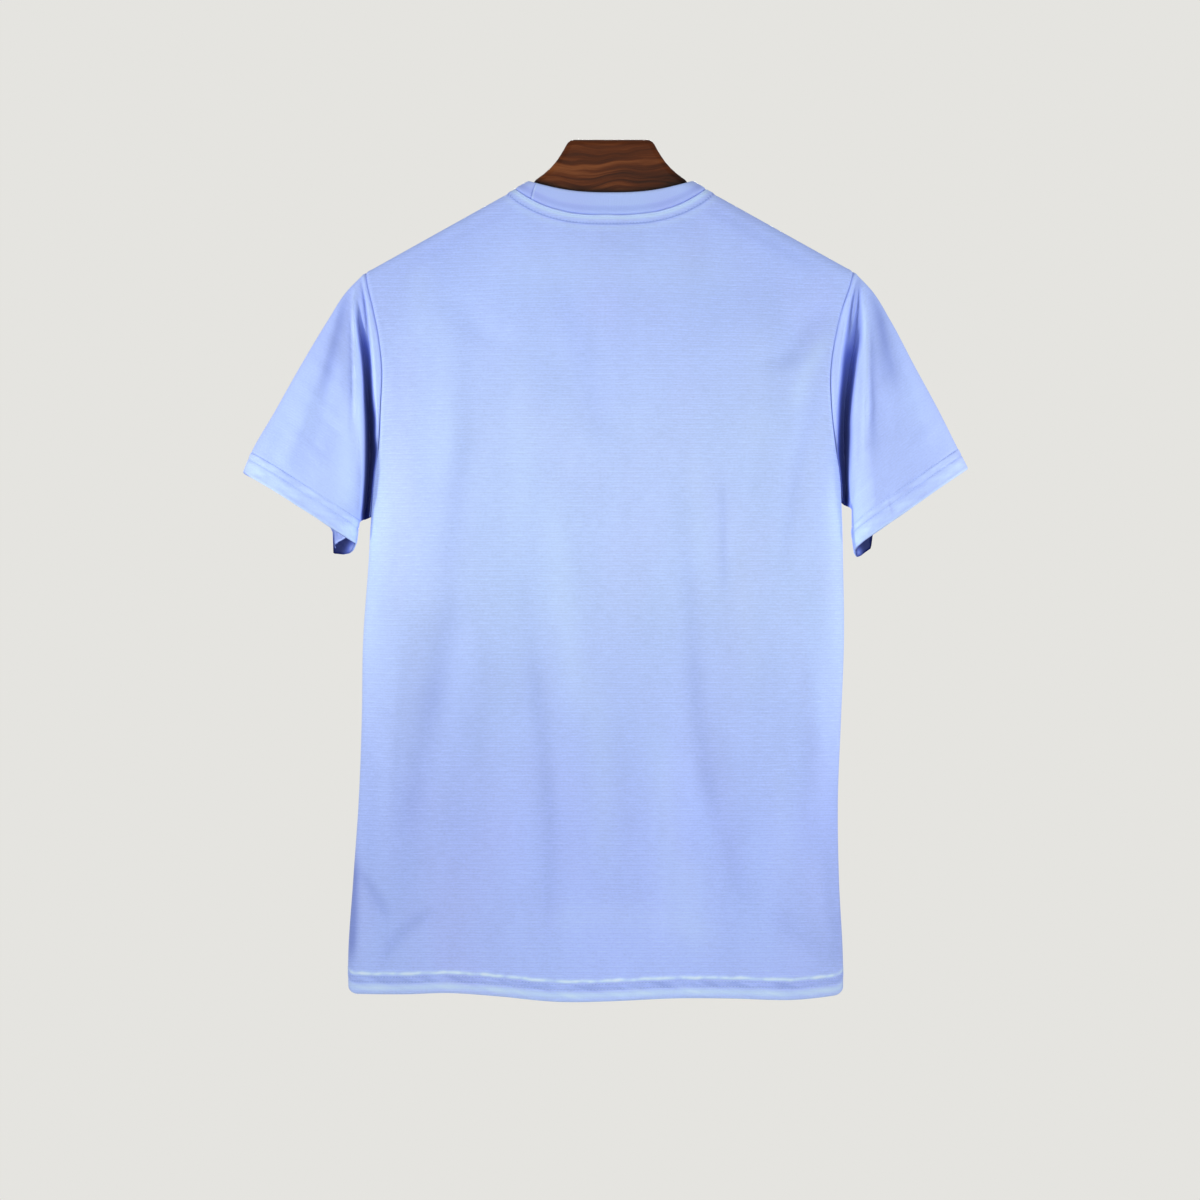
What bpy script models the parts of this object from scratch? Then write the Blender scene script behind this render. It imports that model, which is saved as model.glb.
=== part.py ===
"""A short-sleeved football jersey hung on a plain wooden hanger.

The frame: +Z is up, the back of the garment faces -Y, the wearer's left is -X. The origin is the
middle of the hanger's flat top. Sizes in the tables are millimetres, and MM turns them into metres.

The cloth of the body lies on one smooth surface, y = depth(x, z), that the back, the front and the
collar share, so their edges meet along the same lines. Each sleeve is a loft from its armhole to
its cuff, pinched into a deep fold beside the body as a hanging sleeve is.
"""

import math
from collections import namedtuple

import bmesh
import bpy
import numpy as np

MM = 0.001
COLLECTION = "football_jersey_on_hanger"

# Cloth, mm.
WALL = 1.6
RIB_WALL = 1.8
SEAM_GAP = 0.3
HEM_HEIGHT = 18.0
HEM_RAISE = 0.9
NECK_SEAM_HEIGHT = 9.0
NECK_SEAM_RAISE = 0.7

# Shoulder line: straight, and the same slope on both sides. RIDGE_Z is its height carried on to x = 0.
SHOULDER_SLOPE = 0.557
RIDGE_Z = 3.6

# Neck opening, mm. The seam joins the panels to the collar, the rim is the collar's free edge.
NECK_HALF_WIDTH = 86.0
RIM_HALF_WIDTH = 72.6
Neckline = namedtuple("Neckline", "seam_drop seam_power rim_drop rim_power")
NECKLINES = {
    "back": Neckline(seam_drop=24.0, seam_power=2.8, rim_drop=11.0, rim_power=2.5),
    "front": Neckline(seam_drop=86.0, seam_power=2.4, rim_drop=74.0, rim_power=2.4),
}

# How far the body's cloth stands from the middle plane at each height.
BodyDepth = namedtuple("BodyDepth", "z back front")
BODY_DEPTHS = (
    BodyDepth(z=-40, back=42, front=46),
    BodyDepth(z=-200, back=50, front=58),
    BodyDepth(z=-340, back=54, front=62),
    BodyDepth(z=-500, back=52, front=58),
    BodyDepth(z=-650, back=48, front=53),
    BodyDepth(z=-790, back=46, front=51),
)
SECTION_POWER = 2.5  # 2 is an ellipse, more is squarer at the sides
SHOULDER_ROUND_DEPTH = 17.0  # half width of the cloth's fold over the hanger's arm
SHOULDER_ROUND_HEIGHT = 14.0
SHOULDER_ROUND_POWER = 2.5
SHOULDER_TO_CHEST = 160.0  # the height over which that fold opens to the body's full depth
NAPE_HALF_WIDTH = 70.0  # within this the cloth's slope rounds over from one shoulder to the other

# Edge of the body panels at each height: armhole seam above the armpit, side seam below it.
Side = namedtuple("Side", "z left right")
SEAM_LINE = (
    Side(z=-119, left=221.0, right=219.0),
    Side(z=-129, left=219.0, right=212.0),
    Side(z=-153, left=211.6, right=204.8),
    Side(z=-176, left=207.0, right=200.0),
    Side(z=-206, left=205.3, right=198.0),
    Side(z=-240, left=207.0, right=198.8),
    Side(z=-277, left=208.5, right=202.0),
    Side(z=-310, left=213.0, right=206.0),
    Side(z=-335, left=216.4, right=208.6),
    Side(z=-380, left=219.0, right=210.6),
    Side(z=-450, left=224.0, right=211.5),
    Side(z=-523, left=225.3, right=208.8),
    Side(z=-595, left=228.0, right=206.0),
    Side(z=-667, left=233.0, right=207.0),
    Side(z=-740, left=237.6, right=210.6),
    Side(z=-790, left=236.6, right=210.6),
)
# The full section that the armhole cuts short reaches this much past the armpit, at each share of
# the way up from the armpit to the shoulder.
Flare = namedtuple("Flare", "up extra")
ARMHOLE_FLARE = (
    Flare(up=0.0, extra=0.0),
    Flare(up=0.08, extra=0.6),
    Flare(up=0.18, extra=3.4),
    Flare(up=0.35, extra=12.0),
    Flare(up=0.63, extra=30.0),
    Flare(up=1.0, extra=64.0),
)
ARMPIT_Z = {"left": -341.0, "right": -329.0}
SHOULDER_X = {"left": 221.0, "right": 219.0}

# Lower edge of the body, across from the wearer's left (-1) to the right (+1).
HemPoint = namedtuple("HemPoint", "across z")
HEM_LINE = (
    HemPoint(across=-1.0, z=-769.0),
    HemPoint(across=-0.6, z=-767.6),
    HemPoint(across=-0.15, z=-775.6),
    HemPoint(across=0.3, z=-772.5),
    HemPoint(across=0.75, z=-774.0),
    HemPoint(across=1.0, z=-769.0),
)

# Soft folds of the body: three points down the middle of each, its half width and its depth.
# A negative depth is a ridge.
Fold = namedtuple("Fold", "face x0 z0 x1 z1 x2 z2 width depth")
BODY_FOLDS = (
    Fold("back", -145, -400, -160, -520, -186, -650, 20, 4.5),
    Fold("back", -65, -430, -60, -590, -58, -735, 24, 5.0),
    Fold("back", 73, -385, 76, -540, 128, -675, 20, 4.5),
    Fold("back", 99, -300, 98, -360, 97, -415, 12, 3.0),
    Fold("back", 198, -215, 168, -305, 161, -385, 16, 4.5),
    Fold("back", 200, -140, 168, -184, 138, -214, 16, 4.0),
    Fold("back", -60, -175, -30, -225, -3, -276, 20, 2.5),
    Fold("back", -162, -225, -160, -285, -158, -345, 16, -3.0),
    Fold("back", -94, -225, -94, -290, -92, -345, 18, -3.0),
    Fold("back", 20, -420, 14, -580, 18, -740, 30, -3.5),
    Fold("back", -228, -660, -198, -702, -207, -735, 9, 2.5),
    Fold("front", -150, -390, -165, -540, -182, -735, 22, 5.0),
    Fold("front", -40, -330, -62, -540, -70, -740, 26, 5.0),
    Fold("front", 95, -360, 90, -560, 112, -740, 24, 5.0),
    Fold("front", -198, -160, -165, -230, -135, -320, 16, 4.0),
    Fold("front", 194, -165, 160, -240, 140, -330, 16, 4.0),
    Fold("front", -70, -140, 0, -185, 70, -230, 18, 2.0),
    Fold("front", 22, -400, 18, -580, 16, -745, 28, -3.5),
)

# Sleeves. x is the distance from the middle plane on either side.
OutlinePoint = namedtuple("OutlinePoint", "z x")
PinchPoint = namedtuple("PinchPoint", "z x half_width share")
Sleeve = namedtuple("Sleeve", "outer pinch cuff_inner cuff_outer hem_inner hem_outer folds")
SLEEVES = {
    "left": Sleeve(
        outer=(
            OutlinePoint(-119.5, 221.0),
            OutlinePoint(-135.3, 236.8),
            OutlinePoint(-162.4, 254.8),
            OutlinePoint(-203.0, 279.2),
            OutlinePoint(-243.5, 302.6),
            OutlinePoint(-281.0, 324.6),
            OutlinePoint(-298.0, 331.5),
        ),
        pinch=(
            PinchPoint(-135, 227.5, 4.0, 0.0),
            PinchPoint(-152, 226.5, 4.5, 0.7),
            PinchPoint(-176, 224.5, 5.0, 1.0),
            PinchPoint(-217, 219.0, 6.5, 1.0),
            PinchPoint(-262, 216.0, 8.5, 1.0),
            PinchPoint(-307, 218.7, 7.5, 1.0),
            PinchPoint(-345, 222.0, 6.0, 1.0),
            PinchPoint(-365, 219.0, 5.0, 0.6),
        ),
        cuff_inner=(229.0, -364.0),
        cuff_outer=(331.5, -298.0),
        hem_inner=(227.0, -346.5),
        hem_outer=(324.6, -281.0),
        folds=(
            Fold("back", 237, -145, 249, -192, 267, -285, 11.0, 8.0),
            Fold("front", 240, -150, 254, -200, 270, -280, 11.0, 7.0),
            Fold("front", 262, -215, 280, -260, 292, -300, 12.0, 3.0),
        ),
    ),
    "right": Sleeve(
        outer=(
            OutlinePoint(-118.4, 219.0),
            OutlinePoint(-135.0, 235.0),
            OutlinePoint(-162.0, 252.0),
            OutlinePoint(-203.0, 273.8),
            OutlinePoint(-243.5, 296.3),
            OutlinePoint(-278.0, 314.0),
            OutlinePoint(-294.5, 322.5),
        ),
        pinch=(
            PinchPoint(-126, 220.0, 4.0, 0.0),
            PinchPoint(-142, 220.5, 5.0, 0.7),
            PinchPoint(-158, 220.5, 6.5, 1.0),
            PinchPoint(-180, 217.5, 8.0, 1.0),
            PinchPoint(-207, 213.8, 8.0, 1.0),
            PinchPoint(-245, 211.4, 7.0, 1.0),
            PinchPoint(-300, 211.8, 6.5, 1.0),
            PinchPoint(-335, 213.5, 5.5, 1.0),
            PinchPoint(-365, 211.0, 5.0, 0.6),
        ),
        cuff_inner=(220.0, -373.0),
        cuff_outer=(322.5, -294.5),
        hem_inner=(217.6, -354.5),
        hem_outer=(314.0, -278.0),
        folds=(
            Fold("back", 235, -140, 246, -187, 241, -250, 10.0, 7.0),
            Fold("front", 236, -145, 250, -200, 262, -275, 11.0, 7.0),
            Fold("front", 262, -220, 276, -260, 288, -300, 12.0, 3.0),
        ),
    ),
}
SleeveDepth = namedtuple("SleeveDepth", "along back front")
SLEEVE_DEPTHS = (
    SleeveDepth(along=0.0, back=31, front=34),
    SleeveDepth(along=0.3, back=39, front=42),
    SleeveDepth(along=0.7, back=42, front=45),
    SleeveDepth(along=1.0, back=42, front=45),
)
SLEEVE_SECTION_POWER = 0.85
ARMHOLE_BLEND = 0.3  # share of the sleeve over which its section leaves the armhole's
PINCH_FLOOR = 9.0  # the pinched cloth lies this far to the front of the middle plane
PINCH_HALF_GAP = 6.5
PINCH_START = 0.13  # share of the sleeve over which the pinch grows from nothing at the armhole
CUFF_GAPE = 15.0  # the inner corner of the cuff's front hangs this much lower than the back
CUFF_GAPE_START = 0.06  # shares of the cuff over which it drops and comes back up
CUFF_GAPE_END = 0.26

# Hanger, mm.
HANGER_THICKNESS = 20.0
HANGER_EDGE_ROUND = 5.5
HANGER_FLAT_HALF = 34.0
HANGER_CLEARANCE = 3.4  # from the cloth's outer surface down to the arm's top edge
HANGER_NECK_DIP = 1.6  # the arm lies this much lower where it leaves the neck
HANGER_ARM_END = 204.0
HANGER_ARM_HEIGHT = 34.0
HANGER_BASE_Z = -66.0
HUMP_SIDE = (  # from the flat top down to the arms
    OutlinePoint(z=-0.9, x=37.0),
    OutlinePoint(z=-3.6, x=39.4),
    OutlinePoint(z=-9.0, x=42.2),
    OutlinePoint(z=-14.4, x=45.5),
    OutlinePoint(z=-19.8, x=49.2),
    OutlinePoint(z=-25.3, x=54.0),
    OutlinePoint(z=-30.7, x=60.0),
    OutlinePoint(z=-36.0, x=67.2),
    OutlinePoint(z=-40.6, x=71.0),
    OutlinePoint(z=-44.8, x=76.5),
)

# Mesh spacing: intervals along each stretch.
NECK_TURNS = (0, 15, 30, 45, 60, 72, 82, 90)  # degrees round from the middle of the neck
SHOULDER_COLUMNS = 8
SKIRT_ROWS = 10
ARMHOLE_ROWS = 16
COLLAR_ROWS = 3
PINCH_COLUMNS = (-1.3, -0.95, -0.65, -0.3, 0.0, 0.35, 0.7, 1.05, 1.4)  # in half widths of the pinch
ARMHOLE_MARGIN = 0.04  # least share of the sleeve from the armhole to the first of those columns
PINCH_MARGIN = 0.012  # and between two of them
OUTER_COLUMNS = 4  # from the pinch to the cuff's hem
HEM_START = 0.9  # share of the sleeve where the cuff's hem begins
HEM_STEP = 1.8  # width of the slope from a hem's raised cloth to the plain cloth

SIGN = {"left": -1.0, "right": 1.0}
OUT_Y = {"back": -1.0, "front": 1.0}


# ---------------------------------------------------------------- curves through tables


def smooth_through(keys, values, at):
    """The value at each `at` of a smooth curve through the table's points, held level past its ends."""
    keys, values = np.asarray(keys, float), np.asarray(values, float)
    if keys[0] > keys[-1]:
        keys, values = keys[::-1], values[::-1]
    at = np.clip(np.asarray(at, float), keys[0], keys[-1])
    slopes = np.gradient(values, keys)
    i = np.clip(np.searchsorted(keys, at, side="right") - 1, 0, len(keys) - 2)
    step = keys[i + 1] - keys[i]
    t = (at - keys[i]) / step
    return (
        values[i] * (1 + 2 * t) * (1 - t) ** 2
        + values[i + 1] * t * t * (3 - 2 * t)
        + step * (slopes[i] * t * (1 - t) ** 2 - slopes[i + 1] * t * t * (1 - t))
    )


def column(table, name, at, key="z"):
    return smooth_through([getattr(r, key) for r in table], [getattr(r, name) for r in table], at)


def ease(t):
    """0 at 0 and 1 at 1, level at both ends."""
    t = np.clip(t, 0.0, 1.0)
    return t * t * (3 - 2 * t)


def fold_depth(fold, x, z):
    """How deep one fold is at x, z: full along its middle, fading out sideways and at its ends."""
    middle = smooth_through([fold.z0, fold.z1, fold.z2], [fold.x0, fold.x1, fold.x2], z)
    lean = (fold.x2 - fold.x0) / (fold.z2 - fold.z0)
    off = (x - middle) / math.hypot(1.0, lean)
    share = (fold.z0 - z) / (fold.z0 - fold.z2)
    ends = ease(share / 0.3) * ease((1 - share) / 0.3)
    return fold.depth * np.exp(-((off / fold.width) ** 2)) * ends


# ---------------------------------------------------------------- the body's surface


def shoulder_line(x):
    return RIDGE_Z - SHOULDER_SLOPE * np.abs(x)


def neck_curve(x, half_width, drop, power):
    across = np.clip(np.abs(x) / half_width, 0.0, 1.0)
    return shoulder_line(half_width) - drop * (1 - across**power)


def seam_x(side, z):
    """Signed x of the panels' edge: the armhole seam above the armpit, the side seam below."""
    return SIGN[side] * column(SEAM_LINE, side, z)


def section_edge_x(side, z):
    armpit = ARMPIT_Z[side]
    up = (z - armpit) / (shoulder_line(SHOULDER_X[side]) - armpit)
    flared = column(SEAM_LINE, side, armpit) + column(ARMHOLE_FLARE, "extra", up, key="up")
    seam = column(SEAM_LINE, side, z)
    return SIGN[side] * np.where(z > armpit, np.maximum(flared, seam), seam)


def body_depth(x, z, face):
    """Distance of the cloth's outer surface from the middle plane, 0 along the side and shoulder seams."""
    x, z = np.asarray(x, float), np.asarray(z, float)
    low, high = section_edge_x("left", z), section_edge_x("right", z)
    across = (2 * x - low - high) / (high - low)
    section = np.clip(1 - np.abs(across) ** SECTION_POWER, 0, 1) ** (1 / SECTION_POWER)
    from_middle = np.where(np.abs(x) < NAPE_HALF_WIDTH, (x * x / NAPE_HALF_WIDTH + NAPE_HALF_WIDTH) / 2, x)
    below = np.clip(shoulder_line(from_middle) - z, 0, None)
    up = np.clip(1 - below / SHOULDER_ROUND_HEIGHT, 0, 1)
    rounding = (1 - up**SHOULDER_ROUND_POWER) ** (1 / SHOULDER_ROUND_POWER)
    full = column(BODY_DEPTHS, face, z)
    opening = ease(below / SHOULDER_TO_CHEST)
    depth = section * (
        SHOULDER_ROUND_DEPTH * rounding + (full - SHOULDER_ROUND_DEPTH) * opening
    )
    folds = sum(fold_depth(f, x, z) for f in BODY_FOLDS if f.face == face)
    return np.clip(depth - folds * ease(section / 0.6) * ease(below / 50), 0, None)


def body_point(x, z, face):
    return np.stack(np.broadcast_arrays(x, OUT_Y[face] * body_depth(x, z, face), z), axis=-1)


def body_normal(x, z, face, step=0.05):
    """Outward normal of that surface. On the side and shoulder seams it lies in the middle plane."""
    across = (body_depth(x + step, z, face) - body_depth(x - step, z, face)) / (2 * step)
    upward = (body_depth(x, z + step, face) - body_depth(x, z - step, face)) / (2 * step)
    on_seam = body_depth(x, z, face) < 0.5
    out = np.where(on_seam, 0.0, OUT_Y[face])
    return unit(np.stack(np.broadcast_arrays(-across, out, -upward), axis=-1))


# ---------------------------------------------------------------- walls of cloth


def unit(vectors):
    return vectors / np.maximum(np.linalg.norm(vectors, axis=-1, keepdims=True), 1e-12)


def grid_normals(points, around=False):
    """Normals of a grid of points from its neighbours; `around` closes the second direction."""
    down = np.gradient(points, axis=0)
    if around:
        across = np.roll(points, -1, axis=1) - np.roll(points, 1, axis=1)
    else:
        across = np.gradient(points, axis=1)
    return unit(np.cross(across, down))


def along_edge(line, around=False):
    """Direction of an edge at each of its points, halfway between the stretches before and after."""
    ahead = unit((np.roll(line, -1, axis=0) - line) if around else np.diff(line, axis=0))
    if around:
        return unit(ahead + np.roll(ahead, 1, axis=0))
    return unit(np.concatenate([ahead[:1], ahead[:-1] + ahead[1:], ahead[-1:]]))


def drawn_in(line, inside, distance, around=False):
    """How far to move an edge into its piece: square to the edge, along the cloth towards `inside`."""
    along = along_edge(line, around)
    inward = inside - line
    inward = inward - np.sum(inward * along, axis=-1, keepdims=True) * along
    return unit(inward) * distance


def cloth_wall(name, points, normals, wall, raised, material, around=False):
    """A closed wall: the outer face is the points moved out by `raised`, the inner face lies `wall` in."""
    outer = points + normals * np.asarray(raised)[..., None]
    inner = points - normals * wall
    rows, columns = points.shape[:2]
    mesh = bmesh.new()
    layers = [[[mesh.verts.new(p * MM) for p in row] for row in layer] for layer in (outer, inner)]
    steps = range(columns if around else columns - 1)

    def quad(a, b, c, d):
        mesh.faces.new((a, b, c, d))

    for j in steps:
        k = (j + 1) % columns
        for i in range(rows - 1):
            a, b = layers[0][i], layers[0][i + 1]
            quad(a[j], a[k], b[k], b[j])
            a, b = layers[1][i], layers[1][i + 1]
            quad(b[j], b[k], a[k], a[j])
        quad(layers[1][0][j], layers[1][0][k], layers[0][0][k], layers[0][0][j])
        quad(layers[0][-1][j], layers[0][-1][k], layers[1][-1][k], layers[1][-1][j])
    if not around:
        for i in range(rows - 1):
            quad(layers[0][i + 1][0], layers[1][i + 1][0], layers[1][i][0], layers[0][i][0])
            quad(layers[0][i][-1], layers[1][i][-1], layers[1][i + 1][-1], layers[0][i + 1][-1])
    bmesh.ops.recalc_face_normals(mesh, faces=mesh.faces)
    data = bpy.data.meshes.new(name)
    mesh.to_mesh(data)
    mesh.free()
    data.shade_smooth()
    data.set_sharp_from_angle(angle=math.radians(40))
    data.materials.append(material)
    return add_object(name, data)


# ---------------------------------------------------------------- front and back


def panel_columns():
    """Places across a panel, -1 to 1: closer together at the sides and at the ends of the neck."""
    neck = NECK_HALF_WIDTH / 0.5 / (SHOULDER_X["left"] + SHOULDER_X["right"])
    middle = (SHOULDER_X["left"] - SHOULDER_X["right"]) / (SHOULDER_X["left"] + SHOULDER_X["right"])
    turns = np.sin(np.radians(NECK_TURNS))
    neck_part = middle + neck * np.concatenate([-turns[:0:-1], turns])
    outward = np.sin(np.linspace(0, math.pi / 2, SHOULDER_COLUMNS + 1))[1:]
    left = neck_part[0] + (-1 - neck_part[0]) * outward
    right = neck_part[-1] + (1 - neck_part[-1]) * outward
    return np.concatenate([left[::-1], neck_part, right])


def top_edge(x, face):
    line = NECKLINES[face]
    neck = neck_curve(x, NECK_HALF_WIDTH, line.seam_drop, line.seam_power)
    return np.where(np.abs(x) < NECK_HALF_WIDTH, neck, shoulder_line(x))


def panel_points(face):
    """Rows from hem to top: hem band, skirt up to the armpits, then armhole, shoulder and neck."""
    across = panel_columns()
    half_turns = np.linspace(0, math.pi, ARMHOLE_ROWS + 1)
    hem_z = column(HEM_LINE, "z", across, key="across")
    armpit_z = ARMPIT_Z["left"] + (ARMPIT_Z["right"] - ARMPIT_Z["left"]) * (across + 1) / 2
    top_x = (SHOULDER_X["right"] - SHOULDER_X["left"]) / 2 + across * sum(SHOULDER_X.values()) / 2
    top_z = top_edge(top_x, face)
    band_z = hem_z + HEM_HEIGHT + HEM_STEP
    rows = [hem_z, hem_z + HEM_HEIGHT]
    rows += [band_z + (armpit_z - band_z) * t for t in np.linspace(0, 1, SKIRT_ROWS + 1)]
    rows += [armpit_z + (top_z - armpit_z) * (1 - math.cos(a)) / 2 for a in half_turns[1:]]
    z = np.array(rows)
    low, high = seam_x("left", z), seam_x("right", z)
    x = (low + high) / 2 + (high - low) / 2 * across
    x[-1] = top_x
    return body_point(x, z, face), x, z, top_z


def panel(face, material):
    points, x, z, top_z = panel_points(face)
    normals = grid_normals(points) * OUT_Y[face] * -1.0
    for edge in (np.s_[:, 0], np.s_[:, -1], np.s_[-1, :]):
        normals[edge] = body_normal(x[edge], z[edge], face)
    for side, edge in (("left", 0), ("right", -1)):
        ring = armhole_normals(side)
        half = ring[: ARMHOLE_ROWS + 1] if face == "back" else np.roll(ring[::-1], 1, axis=0)
        normals[-ARMHOLE_ROWS - 1 :, edge] = half[: ARMHOLE_ROWS + 1]
    half_gap = SEAM_GAP / 2
    moves = np.zeros_like(points)
    moves[:, 0] += drawn_in(points[:, 0], points[:, 1], half_gap)
    moves[:, -1] += drawn_in(points[:, -1], points[:, -2], half_gap)
    moves[-1] += drawn_in(points[-1], points[-2], half_gap)
    in_hem = np.arange(len(points)) < 2
    raised = np.where(in_hem[:, None], HEM_RAISE, 0.0) * np.ones(points.shape[:2])
    under_collar = (top_z - z < NECK_SEAM_HEIGHT) & (np.abs(x) < NECK_HALF_WIDTH + 1)
    raised[under_collar] = NECK_SEAM_RAISE
    return cloth_wall(face + "_panel", points + moves, normals, WALL, raised, material)


# ---------------------------------------------------------------- sleeves


def armhole_z(side, down):
    return ARMPIT_Z[side] + (shoulder_line(SHOULDER_X[side]) - ARMPIT_Z[side]) * down


def sleeve_layout(side, down, along, face):
    """x from the middle plane and z of a sleeve's cloth. `down` runs from armpit 0 to shoulder 1."""
    sleeve = SLEEVES[side]
    armpit = ARMPIT_Z[side]
    top_z = shoulder_line(SHOULDER_X[side])
    arm_z = armhole_z(side, down)
    arm_x = np.where(down >= 1, SHOULDER_X[side], column(SEAM_LINE, side, arm_z))
    share = np.clip(along / HEM_START, 0, 1)
    hem_share = np.clip((along - HEM_START) / (1 - HEM_START), 0, 1)
    edge_z = top_z + (sleeve.hem_outer[1] - top_z) * share
    edge_x = column(sleeve.outer, "x", edge_z)
    armpit_x = column(SEAM_LINE, side, armpit)
    under_x = armpit_x + (sleeve.hem_inner[0] - armpit_x) * ease(share)
    under_z = armpit + (sleeve.hem_inner[1] - armpit) * share**2
    hem_x = sleeve.hem_inner[0] + (sleeve.hem_outer[0] - sleeve.hem_inner[0]) * down
    hem_z = sleeve.hem_inner[1] + (sleeve.hem_outer[1] - sleeve.hem_inner[1]) * down
    corners_x = (
        (1 - share) * ((1 - down) * armpit_x + down * SHOULDER_X[side])
        + share * hem_x
    )
    corners_z = (1 - share) * ((1 - down) * armpit + down * top_z) + share * hem_z
    x = (1 - share) * arm_x + share * hem_x + (1 - down) * under_x + down * edge_x - corners_x
    z = (1 - share) * arm_z + share * hem_z + (1 - down) * under_z + down * edge_z - corners_z
    cuff_x = sleeve.cuff_inner[0] + (sleeve.cuff_outer[0] - sleeve.cuff_inner[0]) * down
    cuff_z = sleeve.cuff_inner[1] + (sleeve.cuff_outer[1] - sleeve.cuff_inner[1]) * down
    x = x + (cuff_x - hem_x) * hem_share
    z = z + (cuff_z - hem_z) * hem_share
    if face == "front":
        corner = ease(down / CUFF_GAPE_START) * ease((CUFF_GAPE_END - down) / (CUFF_GAPE_END / 2))
        z = z - CUFF_GAPE * corner * ease((along - 0.4) / 0.6)
    return x, z


def sleeve_steps(side, turns):
    """How far along the sleeve each ring is at each turn: close together across the pinch."""
    pinch = SLEEVES[side].pinch
    down = (1 - np.cos(turns)) / 2
    rings = [np.zeros(len(turns))]
    last = len(PINCH_COLUMNS) - 1
    for i, offset in enumerate(PINCH_COLUMNS):
        low, high = rings[-1], np.full(len(turns), HEM_START)
        for _ in range(24):
            middle = (low + high) / 2
            x, z = sleeve_layout(side, down, middle, "back")
            short = x < column(pinch, "x", z) + offset * column(pinch, "half_width", z)
            low, high = np.where(short, middle, low), np.where(short, high, middle)
        nearest = rings[-1] + (PINCH_MARGIN if i else ARMHOLE_MARGIN)
        room = HEM_START - 3 * PINCH_MARGIN * (last - i + OUTER_COLUMNS)
        rings.append(np.clip(low, nearest, room))
    for i in range(1, OUTER_COLUMNS + 1):
        rings.append(rings[last + 1] + (HEM_START - rings[last + 1]) * i / OUTER_COLUMNS)
    band = HEM_START + (1 - HEM_START) * HEM_STEP / HEM_HEIGHT
    return np.array(rings + [np.full(len(turns), band), np.ones(len(turns))])


def sleeve_points(side, turns):
    """Rings from armhole to cuff. A turn of 0 is the underarm seam, half way round is the top."""
    sleeve = SLEEVES[side]
    along = sleeve_steps(side, turns)
    turn = np.broadcast_to(turns, along.shape)
    points = np.zeros(along.shape + (3,))
    for face in ("back", "front"):
        here = turn <= math.pi if face == "back" else turn > math.pi
        angle = np.minimum(turn, 2 * math.pi - turn)
        down = (1 - np.cos(angle)) / 2
        x, z = sleeve_layout(side, down, along, face)
        arm_z = armhole_z(side, down)
        armhole = body_depth(seam_x(side, arm_z), arm_z, face)
        armhole = np.where((down <= 0) | (down >= 1), 0.0, armhole)
        round_section = column(SLEEVE_DEPTHS, face, along, key="along")
        round_section = round_section * np.sin(angle) ** SLEEVE_SECTION_POWER
        leave = ease(along / ARMHOLE_BLEND)
        depth = armhole + (round_section - armhole) * leave
        off_seam = ease(along / PINCH_START) * ease(np.sin(angle) / 0.35)
        folds = sum(fold_depth(f, x, z) for f in sleeve.folds if f.face == face)
        depth = depth - folds * off_seam
        middle = column(sleeve.pinch, "x", z)
        half_width = column(sleeve.pinch, "half_width", z)
        pinch = np.exp(-(np.abs((x - middle) / half_width) ** 3))
        pinch = pinch * column(sleeve.pinch, "share", z) * ease(along / PINCH_START)
        gap = PINCH_HALF_GAP * ease(np.sin(angle) / 0.4)
        floor = OUT_Y[face] * PINCH_FLOOR * ease(np.sin(angle) / 0.5) + gap
        depth = depth + (floor - depth) * pinch
        points[here] = np.stack([SIGN[side] * x, OUT_Y[face] * depth, z], axis=-1)[here]
    return points


def sleeve_grid(side):
    turns = np.linspace(0, 2 * math.pi, 2 * ARMHOLE_ROWS + 1)[:-1]
    points = sleeve_points(side, turns)
    return points, grid_normals(points, around=True) * -SIGN[side]


def armhole_normals(side):
    """Normals round the armhole that both edges share: halfway between the body's and the sleeve's."""
    points, normals = sleeve_grid(side)
    count = len(points[0])
    faces = ["back" if j <= ARMHOLE_ROWS else "front" for j in range(count)]
    body = [body_normal(p[0], p[2], face) for p, face in zip(points[0], faces)]
    return unit(np.array(body) + normals[0])


def sleeve(side, material):
    points, normals = sleeve_grid(side)
    normals[0] = armhole_normals(side)
    points[0] += drawn_in(points[0], points[1], SEAM_GAP, around=True)
    raised = np.zeros(points.shape[:2])
    raised[-2:] = HEM_RAISE
    return cloth_wall("sleeve_" + side, points, normals, WALL, raised, material, around=True)


# ---------------------------------------------------------------- collar


def collar(material):
    """A rib ring on the body's own surface, from the neck seam in to the rim."""
    quarter = np.radians(NECK_TURNS)
    half = np.concatenate([quarter, math.pi - quarter[-2::-1]])
    turns = np.concatenate([half, 2 * math.pi - half[-2:0:-1]])
    rings = np.linspace(0, 1, COLLAR_ROWS + 1)
    points = np.zeros((len(rings), len(turns), 3))
    normals = np.zeros_like(points)
    for j, turn in enumerate(turns):
        face = "back" if math.cos(turn) >= 0 else "front"
        line = NECKLINES[face]
        seam = NECK_HALF_WIDTH * math.sin(turn)
        rim = RIM_HALF_WIDTH * math.sin(turn)
        seam_z = neck_curve(seam, NECK_HALF_WIDTH, line.seam_drop, line.seam_power)
        rim_z = neck_curve(rim, RIM_HALF_WIDTH, line.rim_drop, line.rim_power)
        x = seam + (rim - seam) * rings
        z = seam_z + (rim_z - seam_z) * rings
        points[:, j] = body_point(x, z, face)
        normals[:, j] = body_normal(x, z, face)
    points[0] += drawn_in(points[0], points[1], SEAM_GAP, around=True)
    raised = np.full(points.shape[:2], 0.2)
    return cloth_wall("collar", points, normals, RIB_WALL, raised, material, around=True)


# ---------------------------------------------------------------- hanger


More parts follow.
